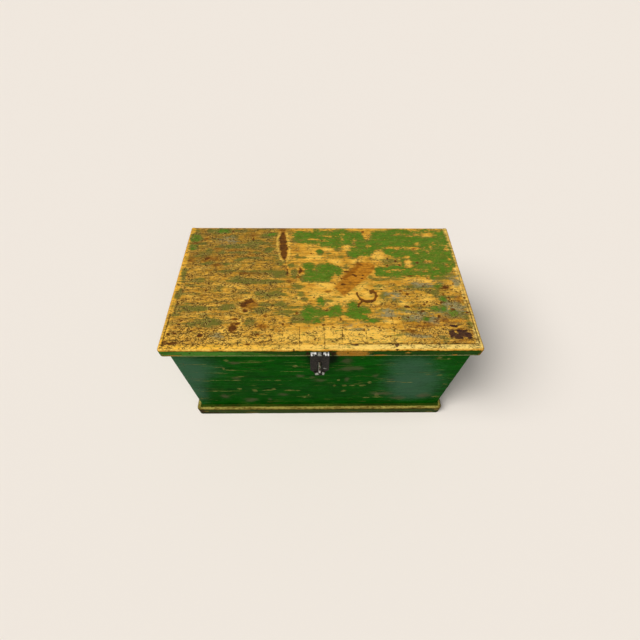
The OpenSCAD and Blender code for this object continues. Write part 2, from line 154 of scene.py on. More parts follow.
class Finish:
    """A material, with short names for the nodes that its pattern needs.  Lengths are in mm."""

    def __init__(self, name):
        self.material = bpy.data.materials.new(name)
        self.material.use_nodes = True
        self.nodes = self.material.node_tree.nodes
        self.links = self.material.node_tree.links
        self.shader = self.nodes["Principled BSDF"]
        coordinates = self.nodes.new("ShaderNodeTexCoord")
        self.mm = self.framed(coordinates.outputs["Object"], size=(MM, MM, MM))

    def plug(self, socket, value):
        if isinstance(value, bpy.types.NodeSocket):
            self.links.new(value, socket)
        else:
            socket.default_value = value

    def framed(self, vector, place=(0, 0, 0), turn=0, size=(1, 1, 1)):
        """Coordinates from a mark's own middle, turned about Z and counted in its own size."""
        node = self.nodes.new("ShaderNodeMapping")
        node.vector_type = "TEXTURE"
        self.plug(node.inputs["Vector"], vector)
        node.inputs["Location"].default_value = place
        node.inputs["Rotation"].default_value = (0, 0, math.radians(turn))
        node.inputs["Scale"].default_value = size
        return node.outputs[0]

    def calc(self, operation, a, b=0.0):
        node = self.nodes.new("ShaderNodeMath")
        node.operation = operation
        self.plug(node.inputs[0], a)
        self.plug(node.inputs[1], b)
        return node.outputs[0]

    def total(self, *terms):
        """The sum of value * weight over the (value, weight) pairs."""
        result = 0.0
        for value, weight in terms:
            result = self.calc("ADD", result, self.calc("MULTIPLY", value, weight))
        return result

    def most(self, *values):
        result = values[0]
        for value in values[1:]:
            result = self.calc("MAXIMUM", result, value)
        return result

    def step(self, value, low, high, to_low=0.0, to_high=1.0):
        """Runs smoothly from to_low to to_high while the value runs from low to high."""
        node = self.nodes.new("ShaderNodeMapRange")
        node.interpolation_type = "SMOOTHSTEP"
        self.plug(node.inputs["Value"], value)
        node.inputs["From Min"].default_value = low
        node.inputs["From Max"].default_value = high
        node.inputs["To Min"].default_value = to_low
        node.inputs["To Max"].default_value = to_high
        return node.outputs[0]

    def cloud(self, size, detail=2.0, rough=0.5, start=0):
        """Noise about 0, from -1 to 1, in lumps of that size; start picks another stretch of it."""
        node = self.nodes.new("ShaderNodeTexNoise")
        self.plug(node.inputs["Vector"], self.framed(self.mm, (start, start, start), 0, size))
        node.inputs["Scale"].default_value = 1
        node.inputs["Detail"].default_value = detail
        node.inputs["Roughness"].default_value = rough
        spread = self.nodes.new("ShaderNodeMapRange")
        self.plug(spread.inputs["Value"], node.outputs[0])
        spread.inputs["From Min"].default_value = 0.25
        spread.inputs["From Max"].default_value = 0.75
        spread.inputs["To Min"].default_value = -1
        return spread.outputs[0]

    def cracks(self, size, start=0):
        """Distance to the nearest crack of a net with cells of that size."""
        node = self.nodes.new("ShaderNodeTexVoronoi")
        node.feature = "DISTANCE_TO_EDGE"
        self.plug(node.inputs["Vector"], self.framed(self.mm, (start, start, start), 0, size))
        node.inputs["Scale"].default_value = 1
        return node.outputs["Distance"]

    def axis(self, name):
        """One of the coordinates in mm."""
        node = self.nodes.new("ShaderNodeSeparateXYZ")
        self.plug(node.inputs[0], self.mm)
        return node.outputs[name]

    def oval(self, place, size, turn=0):
        """1 in the middle of an oval, 0 on its edge and negative outside it."""
        node = self.nodes.new("ShaderNodeVectorMath")
        node.operation = "LENGTH"
        self.plug(node.inputs[0], self.framed(self.mm, place, turn, size))
        return self.calc("SUBTRACT", 1.0, node.outputs["Value"])

    def drawn(self, name):
        """A value drawn on the piece's own points."""
        node = self.nodes.new("ShaderNodeAttribute")
        node.attribute_name = name
        return node.outputs["Fac"]

    def mark(self, name):
        """A mark drawn on the piece: 1 in its middle, 0 on its outline and -1 where there is none."""
        return self.calc("SUBTRACT", self.drawn(name), 1.0)

    def coat(self, under, over, share):
        """The colour over laid on the colour under, as thick as share."""
        node = self.nodes.new("ShaderNodeMix")
        node.data_type = "RGBA"
        self.plug(node.inputs[0], share)
        self.plug(node.inputs[6], under)
        self.plug(node.inputs[7], over)
        return node.outputs[2]

    def relief(self, height, depth):
        """Raises the surface by depth where height is 1."""
        node = self.nodes.new("ShaderNodeBump")
        node.inputs["Distance"].default_value = depth * MM
        self.plug(node.inputs["Height"], height)
        if self.shader.inputs["Normal"].is_linked:
            self.links.new(self.shader.inputs["Normal"].links[0].from_socket, node.inputs["Normal"])
        self.links.new(node.outputs[0], self.shader.inputs["Normal"])

    def finish(self, colour, roughness, specular=0.5, metallic=0.0):
        self.plug(self.shader.inputs["Base Color"], colour)
        self.plug(self.shader.inputs["Roughness"], roughness)
        self.plug(self.shader.inputs["Metallic"], metallic)
        self.shader.inputs["Specular IOR Level"].default_value = specular
        return self.material


# ---------- finishes: paint, wood and iron ----------


def ochre_ground(finish):
    """The first coat: warm yellow ochre, brushed along the grain and browned in places."""
    brushed = finish.cloud((44, 2.6, 2.6), 4, 0.6)
    patchy = finish.cloud((15, 6, 6), 3, 0.6, 40)
    fibre = finish.cloud((9, 0.8, 0.8), 2, 0.5, 80)
    tone = finish.total((brushed, 0.5), (patchy, 0.5), (fibre, 0.3))
    colour = finish.coat(srgb("#AA741A"), srgb("#F0B540"), finish.step(tone, -0.8, 0.65))
    amber = finish.step(finish.cloud((30, 8, 8), 3, 0.6, 120), 0.15, 0.9)
    return finish.coat(colour, srgb("#A8640F"), finish.calc("MULTIPLY", amber, 0.55))


def crackle(finish, size, start=300):
    """How near a point is to a wandering hairline, from 0 on the line up."""
    return finish.calc("ABSOLUTE", finish.cloud(size, 3, 0.6, start))


def lid_paint():
    """Green over ochre, rubbed through along the grain, with what is drawn on the lid board."""
    finish = Finish("lid_paint")
    cover, veil, soil, cracked = (finish.drawn(name) for name in ("cover", "veil", "soil", "cracked"))
    streak = finish.cloud((40, 3.4, 3.4), 4, 0.6, 10)
    blotch = finish.cloud((13, 6, 6), 4, 0.62, 60)
    hair = finish.cloud((9, 1.4, 1.4), 2, 0.5, 90)
    fine = finish.cloud((4.6, 2.8, 2.8), 3, 0.6, 130)
    ragged = finish.total((blotch, 0.36), (streak, 0.36), (fine, 0.34), (hair, 0.1))

    ground = ochre_ground(finish)
    dulled = finish.step(finish.total((soil, 1), (ragged, 0.9)), 0.0, 1.2)
    ground = finish.coat(ground, srgb("#745817"), finish.calc("MULTIPLY", dulled, 0.8))
    light = finish.step(finish.total((finish.mark("bright"), 1), (ragged, 0.9)), -0.2, 0.8)
    ground = finish.coat(ground, srgb("#FFCA54"), finish.calc("MULTIPLY", light, 0.80))
    # The rim strip is worn to ochre and painted paler as a highlight, paler still towards the right.
    rim = finish.step(finish.total((finish.drawn("rim"), 1), (fine, 0.3)), 0.2, 0.8)
    rim_wear_and_highlight = finish.coat(srgb("#FFC23C"), srgb("#FFDE7C"), finish.step(finish.axis("X"), -180, 160))
    ground = finish.coat(ground, rim_wear_and_highlight, finish.calc("MULTIPLY", rim, 0.85))
    near_green = finish.step(cover, -0.65, 0.1, 0, 0.45)
    veiled = finish.step(finish.total((veil, 1), (near_green, 1), (ragged, 0.8), (streak, 0.3)), -0.06, 0.66)
    ashen = finish.step(finish.total((finish.mark("ash"), 1), (blotch, 0.5), (fine, 0.4)), 0.0, 0.9)
    olive = finish.coat(srgb("#49581C"), srgb("#676C2A"), finish.step(fine, -0.6, 0.7))
    olive = finish.coat(olive, srgb("#8E8A6C"), finish.calc("MULTIPLY", ashen, 0.85))
    ground = finish.coat(ground, olive, finish.calc("MULTIPLY", veiled, 0.88))

    thick = finish.step(finish.total((cover, 1), (ragged, 0.95), (fine, 0.16), (hair, 0.12)), -0.34, 0.24)
    green = finish.coat(srgb("#3C630D"), srgb("#4F7B19"), finish.step(blotch, -0.6, 0.7))
    worn = finish.step(finish.total((streak, 0.45), (fine, 0.6), (hair, 0.45)), -0.05, 0.7)
    green = finish.coat(green, srgb("#8A7A2C"), finish.calc("MULTIPLY", worn, 0.85))
    colour = finish.coat(ground, green, finish.calc("MULTIPLY", thick, 0.94))

    near = crackle(finish, (5.6, 3.2, 3.2))
    broken = finish.cloud((9, 6, 6), 2, 0.5, 340)
    grime_and_shading = finish.step(finish.total((cracked, 1), (broken, 0.8), (thick, -0.35)), 0.0, 1.0)
    line = finish.calc("MULTIPLY", finish.step(near, 0.26, 0.08), grime_and_shading)
    # Painted highlight: the paint beside each hairline is made paler, as a curled rim catching the light.
    curl_and_highlight = finish.calc("MULTIPLY", finish.step(near, 0.50, 0.26), finish.calc("SUBTRACT", grime_and_shading, line))
    colour = finish.coat(colour, srgb("#F9D26C"), finish.calc("MULTIPLY", curl_and_highlight, 0.40))
    speck = finish.step(finish.total((fine, 1), (cracked, 0.35)), 0.55, 0.85)
    dirt = finish.most(finish.calc("MULTIPLY", line, 0.9), finish.calc("MULTIPLY", speck, 0.8))
    colour = finish.coat(colour, srgb("#3E270A"), dirt)

    # The brown mark also carries the painted shadow under the gouge's lip.
    marks = (
        ("scar", "#C27E1E", "#84500C", -0.3, 0.5, 0.86),
        ("browning_and_gouge_shadow", "#94590E", "#663C08", 0.0, 0.7, 0.82),
        ("knot", "#6B3C08", "#43240A", -0.02, 0.32, 0.93),
        ("stain", "#3A1B1E", "#231014", -0.1, 0.30, 0.93),
        ("joint", "#6B4A10", "#2E1F08", 0.1, 0.80, 0.85),
    )
    for drawn, light_tint, dark_tint, faint, full, share in marks:
        extent = finish.step(finish.total((finish.mark(drawn), 1), (ragged, 0.6)), faint, full)
        mottle = finish.total((hair, 0.5), (fine, 0.5), (streak, 0.4))
        tint = finish.coat(srgb(light_tint), srgb(dark_tint), finish.step(mottle, -0.5, 0.6))
        colour = finish.coat(colour, tint, finish.calc("MULTIPLY", extent, share))

    finish.relief(finish.total((thick, 1), (dirt, -1.2), (curl_and_highlight, 0.4)), 0.22)
    finish.relief(finish.total((hair, 0.4), (streak, 0.3), (fine, 0.3)), 0.12)
    gloss = finish.total((thick, -0.05), (dirt, 0.25), (hair, 0.05))
    return finish.finish(colour, finish.calc("ADD", gloss, 0.50), 0.10)


def round_the_edge(finish, half, front, rounding):
    """Where a point is on the rounding of a moulding: 0 at the face and pi / 2 at the flat top.

    The outline is half wide to each side and runs along y = front; rounding is (height, radius).
    """
    from_side = finish.calc("SUBTRACT", half, finish.calc("ABSOLUTE", finish.axis("X")))
    from_front = finish.calc("SUBTRACT", finish.axis("Y"), front)
    inward = finish.calc("MINIMUM", from_side, from_front)
    rise = finish.calc("SUBTRACT", finish.axis("Z"), rounding[0])
    return finish.calc("ARCTAN2", rise, finish.calc("SUBTRACT", rounding[1], inward))


def edge_paint(name, outline, rounding, band, lip, greens, ochres, lip_tint):
    """Green on a moulding, rubbed to ochre on the part of its rounding given by band, and on its lip."""
    finish = Finish(name)
    turn = round_the_edge(finish, outline[0], outline[1], rounding)
    rubbed = finish.cloud((26, 26, 2.0), 3, 0.6)
    chipped = finish.cloud((6, 6, 3), 3, 0.6, 50)
    fibre = finish.cloud((8, 8, 0.7), 2, 0.5, 90)
    fine = finish.cloud((3.0, 3.0, 1.5), 3, 0.65, 130)
    ragged = finish.total((rubbed, 0.5), (chipped, 0.6), (fine, 0.3))
    place = finish.total((turn, 1), (ragged, 0.30))
    above = finish.step(place, band[0] - 0.15, band[0] + 0.15)
    below = finish.step(place, band[1] + 0.15, band[1] - 0.15)
    lip_worn = finish.step(finish.total((finish.axis("Z"), 1), (ragged, 1.6)), lip + 0.7, lip - 0.7)
    worn = finish.calc("MULTIPLY", above, below)
    stray = finish.step(finish.total((rubbed, 0.7), (fine, 0.5)), 0.55, 0.8)
    worn = finish.most(worn, finish.calc("MULTIPLY", stray, 0.7))
    worn = finish.most(worn, finish.step(finish.total((finish.mark("bare"), 1), (ragged, 0.4)), 0, 0.25))
    ochre = finish.coat(srgb(ochres[0]), srgb(ochres[1]), finish.step(ragged, -0.7, 0.35))
    # Painted shade: the worn ochre darkens low on the rounding, where it turns down to the face.
    shaded_low_on_rounding = finish.step(place, band[0] + 0.7, band[0])
    ochre = finish.coat(ochre, srgb(ochres[2]), finish.calc("MULTIPLY", shaded_low_on_rounding, 0.7))
    green = finish.coat(srgb(greens[0]), srgb(greens[1]), finish.step(rubbed, -0.8, 0.9))
    haze = finish.step(finish.total((finish.mark("haze"), 1), (rubbed, 0.3)), 0, 0.9)
    green = finish.coat(green, srgb("#5E9E38"), finish.calc("MULTIPLY", haze, 0.8))
    green = finish.coat(green, srgb(lip_tint), finish.calc("MULTIPLY", lip_worn, 0.75))
    colour = finish.coat(green, ochre, worn)
    # Painted shadow: a thin dark line along the lower brink of the worn band.
    from_brink = finish.calc("ABSOLUTE", finish.calc("SUBTRACT", place, band[0] - 0.06))
    colour = finish.coat(colour, srgb("#38280A"), finish.step(from_brink, 0.18, 0.03, 0, 0.6))
    near = crackle(finish, (6, 6, 2.8))
    line = finish.calc("MULTIPLY", finish.step(near, 0.12, 0.03), finish.step(chipped, -0.3, 0.8))
    speck = finish.step(fine, 0.55, 0.85)
    dirt = finish.most(finish.calc("MULTIPLY", line, 0.8), finish.calc("MULTIPLY", speck, 0.7))
    colour = finish.coat(colour, srgb("#4A300C"), dirt)
    # The rust mark: dark stains, and beside the hasp's barrel also the hasp's painted shadow.
    rust = finish.step(finish.total((finish.mark("rust"), 1), (ragged, 0.5)), 0, 0.6)
    colour = finish.coat(colour, srgb("#2E1507"), finish.calc("MULTIPLY", rust, 0.9))
    finish.relief(finish.total((worn, -0.8), (dirt, -0.9)), 0.15)
    finish.relief(finish.total((fibre, 0.5), (rubbed, 0.3)), 0.10)
    return finish.finish(colour, finish.total((worn, 0.08), (dirt, 0.2), (1.0, 0.48)), 0.02)


def body_paint():
    """Deep green on the carcass, with dry scratches along the grain and two bluish patches of painted sheen."""
    finish = Finish("body_paint")
    brushed = finish.cloud((60, 60, 2.4), 4, 0.6)
    patchy = finish.cloud((30, 30, 14), 3, 0.5, 40)
    fibre = finish.cloud((12, 12, 0.7), 3, 0.6, 90)
    fine = finish.cloud((5, 5, 1.2), 3, 0.6, 130)
    tone = finish.total((brushed, 0.5), (patchy, 0.3), (fibre, 0.35), (fine, 0.25))
    colour = finish.coat(srgb("#033801"), srgb("#0A6E03"), finish.step(tone, -0.75, 0.75))
    scuff = finish.step(finish.total((fibre, 0.55), (fine, 0.55), (brushed, 0.45)), 0.2, 1.0)
    colour = finish.coat(colour, srgb("#3C7426"), finish.calc("MULTIPLY", scuff, 0.68))
    # Painted shade: the green darkens towards the bottom, down to the plinth.
    colour = finish.coat(colour, srgb("#021601"), finish.step(finish.axis("Z"), 200, 80, 0, 0.28))
    # Painted sheen: a bluish reflection of the lights, painted into the colour where drawn and fading round onto the
    # ends.
    painted_sheen = finish.total((finish.drawn("painted_sheen"), 1), (brushed, 0.28), (fibre, 0.25), (fine, 0.2))
    painted_sheen = finish.step(painted_sheen, 0.0, 1.1)
    colour = finish.coat(colour, srgb("#4C7358"), finish.calc("MULTIPLY", painted_sheen, 0.72))
    dry = finish.cloud((26, 26, 1.5), 3, 0.6, 150)
    where = finish.cloud((38, 38, 12), 2, 0.5, 220)
    stray = finish.step(finish.total((dry, 1), (where, 0.8)), 0.60, 1.1)
    placed = finish.total((finish.mark("scratch"), 1), (fibre, 0.35), (fine, 0.35))
    scratch = finish.most(finish.calc("MULTIPLY", stray, 0.7), finish.step(placed, -0.1, 0.7))
    tan = finish.coat(srgb("#56601F"), srgb("#A29E5C"), finish.step(finish.total((fibre, 0.6), (fine, 0.6)), -0.5, 0.6))
    colour = finish.coat(colour, tan, finish.calc("MULTIPLY", scratch, 0.82))
    smoke = finish.step(finish.total((finish.mark("smoke"), 1), (patchy, 0.6), (fibre, 0.6)), -0.05, 0.9)
    colour = finish.coat(colour, srgb("#635F42"), finish.calc("MULTIPLY", smoke, 0.62))
    # Grime behind the hasp, darkened further as the hasp's painted shadow on the front.
    grimy_and_shaded = finish.step(finish.total((finish.mark("grime_and_shading"), 1), (patchy, 0.3), (fibre, 0.3)), 0, 0.55)
    colour = finish.coat(colour, srgb("#070B05"), finish.calc("MULTIPLY", grimy_and_shaded, 0.88))
    finish.relief(finish.total((brushed, 0.4), (fibre, 0.4), (scratch, -0.8)), 0.14)
    gloss = finish.total((scratch, 0.2), (brushed, 0.04), (1.0, 0.45))
    return finish.finish(colour, gloss, 0.008)


def pine(name, light, dark, grain):
    """Bare old pine; grain is the size of its growth lines along x, y and z."""
    finish = Finish(name)
    lines = finish.cloud(grain, 3, 0.5)
    fibre = finish.cloud([s / 5 for s in grain], 2, 0.6, 70)
    age = finish.cloud((60, 60, 40), 3, 0.5, 160)
    colour = finish.coat(srgb(dark), srgb(light), finish.step(lines, -0.5, 0.7))
    colour = finish.coat(colour, srgb("#6B4A26"), finish.step(fibre, 0.2, 1.2, 0, 0.5))
    colour = finish.coat(colour, srgb("#8C6A3E"), finish.step(age, 0.1, 1.0, 0, 0.6))
    finish.relief(finish.total((lines, 0.5), (fibre, 0.5)), 0.12)
    return finish.finish(colour, finish.total((fibre, 0.08), (1.0, 0.78)), 0.25)


def iron(name, base, rust, metallic, roughness, rust_share, bright="#8E8A80"):
    """Wrought iron with a forged skin, blooms of rust and, where drawn, places rubbed bright and painted highlights."""
    finish = Finish(name)
    skin = finish.cloud((3.2, 3.2, 3.2), 4, 0.6)
    patch = finish.cloud((7, 7, 7), 3, 0.6, 30)
    pits = finish.cloud((0.9, 0.9, 0.9), 2, 0.6, 60)
    rusted = finish.step(finish.total((patch, 0.8), (skin, 0.5)), 0.6 - rust_share, 1.2 - rust_share)
    colour = finish.coat(srgb(base[0]), srgb(base[1]), finish.step(skin, -0.45, 0.6))
    colour = finish.coat(colour, srgb(rust), rusted)
    # Where drawn, the bright colour is partly rubbed metal and partly painted highlight.
    rubbed = finish.step(finish.total((finish.mark("rub_and_highlight"), 1), (skin, 0.35)), 0.1, 0.7)
    colour = finish.coat(colour, srgb(bright), finish.calc("MULTIPLY", rubbed, 0.9))
    finish.relief(finish.total((skin, 0.5), (pits, 0.35), (rusted, 0.3)), 0.10)
    dulled = finish.total((rusted, -1), (rubbed, -0.55), (1.0, 1))
    shine = finish.calc("MULTIPLY", dulled, metallic)
    return finish.finish(colour, finish.total((rusted, 0.25), (skin, 0.08), (1.0, roughness)), 0.08, shine)


# ---------- drawing marks on a board ----------


def dab(across, along, place, size, turn=0):
    """1 in the middle of an oval, 0 on its edge and negative outside; turn is anticlockwise."""
    angle = math.radians(turn)
    right, up = across - place[0], along - place[1]
    u = (right * math.cos(angle) + up * math.sin(angle)) / size[0]
    v = (up * math.cos(angle) - right * math.sin(angle)) / size[1]
    return 1 - np.hypot(u, v)


def dabs(across, along, marks):
    """The strongest of several ovals, each (x, y, half length, half width, turn)."""
    found = np.full_like(across, -1.0)
    for x, y, long, wide, turn in marks:
        found = np.maximum(found, dab(across, along, (x, y), (long, wide), turn))
    return found


def stroke(across, along, points, width):
    """1 on a line through the points, 0 at half the width away and negative past it."""
    nearest = np.full_like(across, 1e3)
    for (ax, ay), (bx, by) in zip(points, points[1:]):
        right, up = bx - ax, by - ay
        share = ((across - ax) * right + (along - ay) * up) / (right * right + up * up)
        share = np.clip(share, 0, 1)
        nearest = np.minimum(nearest, np.hypot(across - ax - share * right, along - ay - share * up))
    return np.maximum(1 - nearest / (width / 2), -1)


def arc(centre, radii, start, end, count=24):
    """Points along part of an oval, by its angles in degrees."""
    turns = np.radians(np.linspace(start, end, count))
    return [(centre[0] + radii[0] * math.cos(t), centre[1] + radii[1] * math.sin(t)) for t in turns]


def eased(value, reach):
    """A mark's value, brought smoothly up to 1 over reach."""
    share = np.clip(value / reach, 0, 1)
    return share * share * (3 - 2 * share)


def wandering(points, axes, size, amount):
    """Two coordinates of the points in mm, pushed about a little so that outlines aren't true ovals."""
    moved = []
    for p in points:
        push = noise.noise_vector(Vector(p) / size)
        moved.append((p[axes[0]] + push.x * amount, p[axes[1]] + push.y * amount))
    return np.array(moved).T


def corners_mm(mesh):
    points = np.zeros(len(mesh.vertices) * 3, np.float32)
    mesh.vertices.foreach_get("co", points)
    return points.reshape(-1, 3).astype(float) / MM


def draw(mesh, name, values):
    mesh.attributes.new(name, "FLOAT", "POINT").data.foreach_set("value", values.astype(np.float32))


def draw_mark(mesh, name, values):
    """A mark is kept 1 higher than it is, so that a piece without the mark reads as far outside it."""
    draw(mesh, name, np.clip(values + 1, 0, 2))


# Where the lid's green is still thick: outlines in mm
GREENS = (
    (
        (-44, 96), (-43, 101), (-36, 105), (-12, 104), (-9, 110), (-4, 111), (0, 105), (30, 106),
        (37, 110), (43, 109), (48, 105), (64, 105), (68, 100), (70, 93), (73, 84), (79, 85), (84, 93),
        (86, 103), (92, 108), (112, 108), (122, 111), (140, 112), (150, 106), (163, 105), (168, 111),
        (180, 110), (192, 106), (204, 108), (208, 96), (208, 30), (201, 19), (191, 14), (184, 6),
        (173, 8), (169, 1), (165, 8), (130, 7), (96, 7), (84, 9), (82, 19), (90, 26), (104, 25),
        (113, 28), (126, 26), (129, 38), (128, 46), (118, 47), (110, 50), (104, 56), (99, 63),
        (92, 64), (84, 59), (78, 51), (70, 49), (60, 50), (56, 46), (50, 44), (47, 50), (46, 60),
        (51, 66), (51, 74), (44, 78), (37, 76), (32, 70), (22, 67), (13, 70), (2, 73), (-8, 77),
        (-20, 78), (-34, 80), (-40, 85),
    ),
    (
        (-27, 29), (-20, 33), (-13, 31), (-8, 26), (2, 30), (10, 35), (17, 31), (27, 27), (33, 21),
        (31, 11), (27, 8), (22, 13), (17, 8), (15, 1), (8, -3), (-16, -5), (-24, -3), (-25, 10), (-22, 20),
    ),
    (
        (-23, -52), (-17, -49), (-12, -56), (0, -55), (6, -61), (10, -58), (14, -54), (20, -50),
        (24, -46), (27, -54), (29, -61), (27, -67), (10, -68), (-14, -68), (-16, -76), (-22, -77), (-26, -66),
    ),
    (
        (38, -48), (42, -43), (49, -43), (52, -53), (60, -52), (68, -56), (69, -62), (62, -63),
        (63, -69), (70, -73), (77, -76), (70, -78), (60, -76), (52, -71), (43, -73), (36, -69),
        (34, -62), (38, -57), (41, -52),
    ),
)
# More of it in ovals: x, y, half length, half width, turn
GREEN_SPOTS = (
    (-5, -74, 6, 3.5, 0), (-1, -41, 5, 5.5, 0), (174, -13, 4.5, 4.5, 0), (-202, 88, 8, 7, 0),
    (-202, 69, 5, 5, 0), (-161, 107, 9, 5, 0), (163, -55, 4.5, 3.5, 0), (173, -54, 4, 5, 0),
    (186, -62, 5, 4.5, 0), (145, -72, 4, 4, 0), (-1, 58, 4, 4, 0), (176, -38, 3.5, 4, 0),
    (-80, 97, 6, 3.5, 0), (-20, 27, 5, 5, 0),
)
# Where it is rubbed through within them
HOLES = (
    (-10, 86, 13, 3.2, -4), (0, 84, 8, 2.6, 0), (-30, 85, 9, 3, 0), (-3, 78, 3, 4, 0),
    (36, 88, 2.4, 13, 0), (8, 96, 7, 2, 0), (56, 84, 4.6, 4, 0), (54, 76, 2.4, 8, 0), (129, 98, 7, 3.6, 0),
    (145, 97, 7, 2, 0), (158, 99, 9, 4.5, 0), (177, 97, 16, 7, 0), (125, 67, 6, 5, 0), (138, 67, 9, 2.6, 0),
    (150, 66, 9, 6, 0), (153, 60, 5, 4, 0), (158, 76, 5, 5, 0), (168, 64, 8, 3, 0), (172, 59, 3, 4, 0),
    (203, 67, 5, 8, 0), (197, 74, 7, 2.4, 0), (136, 34, 8, 12, 0), (138, 46, 5, 4, 0), (168, 36, 9, 4.6, 0),
    (151, 35, 5, 4, 0), (197, 31, 4, 5, 20), (203, 42, 3, 4, 0), (160, 18, 6, 3, 0), (184, 79, 3, 4, 0),
    (-7, 20, 5, 2.6, 0), (64, 45, 7, 3, 0), (176, 24, 5, 2.4, 0), (146, 19, 6, 2, 0), (178, 69, 2.4, 7, -15),
    (120, 19, 7, 1.6, 0), (102, 16, 5, 1.6, 0), (176, 106, 6, 2, 0), (110, 68, 6, 2.2, 0), (76, 72, 4, 4, 0),
)
# Where a thin greyed veil of it is left: x, y, half length, half width, strength
VEILS = (
    (-203, 99, 7, 12, 0.9), (-202, 88, 11, 11, 0.6), (-202, 70, 8, 8, 0.7), (-182, 107, 8, 8, 0.9),
    (-160, 105, 26, 9, 0.9), (-132, 108, 14, 5, 0.7), (-140, 92, 8, 7, 0.6), (-155, 84, 24, 12, 0.45),
    (-86, 96, 15, 8, 0.9), (-132, 72, 20, 8, 0.8), (-108, 74, 18, 11, 0.9), (-88, 78, 14, 8, 0.6),
    (-150, 71, 28, 6, 0.7), (-174, 61, 11, 6, 0.9), (-156, 58, 6, 9, 0.6), (-128, 57, 22, 5, 0.8),
    (-100, 57, 10, 5, 0.6), (-82, 63, 11, 9, 0.8), (-70, 47, 8, 9, 0.6), (-184, 50, 18, 7, 0.5),
    (-190, 76, 14, 6, 0.5), (-128, 42, 9, 5, 0.9), (-108, 44, 22, 5, 0.8), (-174, 34, 13, 6, 0.9),
    (-146, 33, 8, 8, 0.6), (-205, 8, 5, 20, 1.0), (-205, -28, 6, 13, 0.9), (-180, 0, 13, 5, 0.8),
    (-140, 17, 16, 6, 0.6), (-104, 15, 40, 7, 0.55), (-120, -1, 26, 8, 1.0), (-84, -3, 38, 8, 0.9),
    (-168, -19, 22, 5, 0.5), (-190, -8, 14, 8, 0.5), (-148, -18, 8, 7, 0.5), (-112, -25, 14, 8, 0.4),
    (-182, -53, 22, 7, 1.0), (-164, -53, 14, 6, 0.7), (-134, -52, 20, 8, 1.0), (-202, -63, 9, 8, 0.6),
    (-160, -77, 32, 11, 0.7), (-150, -75, 12, 6, 0.5), (-178, -80, 8, 6, 0.4), (-70, -29, 30, 7, 0.9),
    (-90, -27, 9, 7, 0.6), (-30, -29, 10, 7, 0.8), (-24, -39, 9, 5, 0.8), (-80, -47, 12, 6, 0.8),
    (-58, -45, 18, 6, 0.7), (-44, -52, 22, 4, 0.7), (-48, -60, 24, 5, 0.8), (-38, -67, 16, 4, 0.6), (-84, -57, 14, 7, 0.6), (-98, -76, 12, 10, 0.7),
    (-28, -74, 20, 8, 1.0), (-20, -60, 12, 12, 0.5), (-40, 12, 8, 11, 0.9), (-66, 12, 18, 10, 0.8),
    (-35, -12, 12, 8, 0.9), (-47, 30, 7, 6, 0.8), (-62, 34, 9, 7, 0.6), (-36, 47, 8, 6, 0.7),
    (-25, 46, 6, 5, 0.6), (-39, 84, 9, 7, 0.7), (-18, 83, 16, 4, 0.6), (-26, 3, 6, 8, 0.7),
    (-1, 58, 8, 8, 0.6), (13, 55, 7, 5, 0.5), (28, 62, 7, 5, 0.6), (44, 54, 6, 9, 0.7),
    (34, 48, 8, 5, 0.4), (40, 27, 6, 9, 0.6), (20, 22, 6, 6, 0.3), (74, 4, 7, 6, 0.7), (88, 1, 14, 6, 0.7),
    (110, 1, 22, 5, 0.5), (110, 36, 22, 12, 0.55), (148, 40, 9, 12, 0.5), (178, 0, 14, 8, 0.7),
    (195, 6, 12, 9, 0.6), (146, -12, 18, 6, 0.6), (160, -11, 12, 6, 0.5), (202, -8, 8, 9, 0.7),
    (85, -14, 12, 8, 0.4), (110, -26, 10, 7, 0.8), (166, -27, 10, 7, 0.8), (177, -42, 8, 10, 0.7),
    (92, -34, 12, 10, 0.5), (108, -40, 14, 8, 0.5), (88, -58, 18, 4, 0.6), (94, -66, 20, 4, 0.7), (86, -73, 12, 3, 0.5), (76, -74, 10, 6, 0.7),
    (130, -60, 20, 4, 0.6), (136, -68, 22, 5, 0.7), (128, -76, 14, 3, 0.6), (118, -72, 12, 6, 0.7), (146, -58, 18, 7, 0.6), (186, -44, 20, 5, 0.8), (194, -52, 18, 5, 0.9), (188, -60, 16, 4, 0.8),
    (168, -56, 16, 9, 0.7), (200, -66, 12, 10, 0.8), (156, -74, 12, 10, 0.6), (186, -66, 16, 7, 0.5),
    (110, -58, 16, 5, 0.4), (12, -42, 9, 5, 0.5), (32, -80, 14, 6, 0.5), (48, -88, 12, 5, 0.6),
    (130, -100, 22, 5, 0.6), (164, -105, 9, 8, 0.6), (-140, -99, 12, 6, 0.5), (-108, -112, 6, 4, 0.5),
    (-25, -95, 6, 7, 0.4), (-12, -100, 9, 5, 0.4), (205, -80, 7, 12, 0.7), (105, -100, 20, 4, 0.4), (150, -20, 40, 8, 0.35), (180, -33, 26, 6, 0.5), (124, -14, 26, 5, 0.4),
)
# Where that veil has gone ashy: x, y, half length, half width, turn
ASH = (
    (186, -54, 34, 22, 0), (95, -64, 22, 16, 0), (134, -68, 26, 14, 0), (-140, -99, 14, 7, 0),
    (152, -8, 34, 10, 0), (112, -30, 26, 14, 0), (200, -10, 14, 26, 0),
    (48, -84, 30, 10, 0), (130, -101, 26, 7, 0), (-150, 84, 24, 10, 0), (160, -80, 40, 24, 0),
)
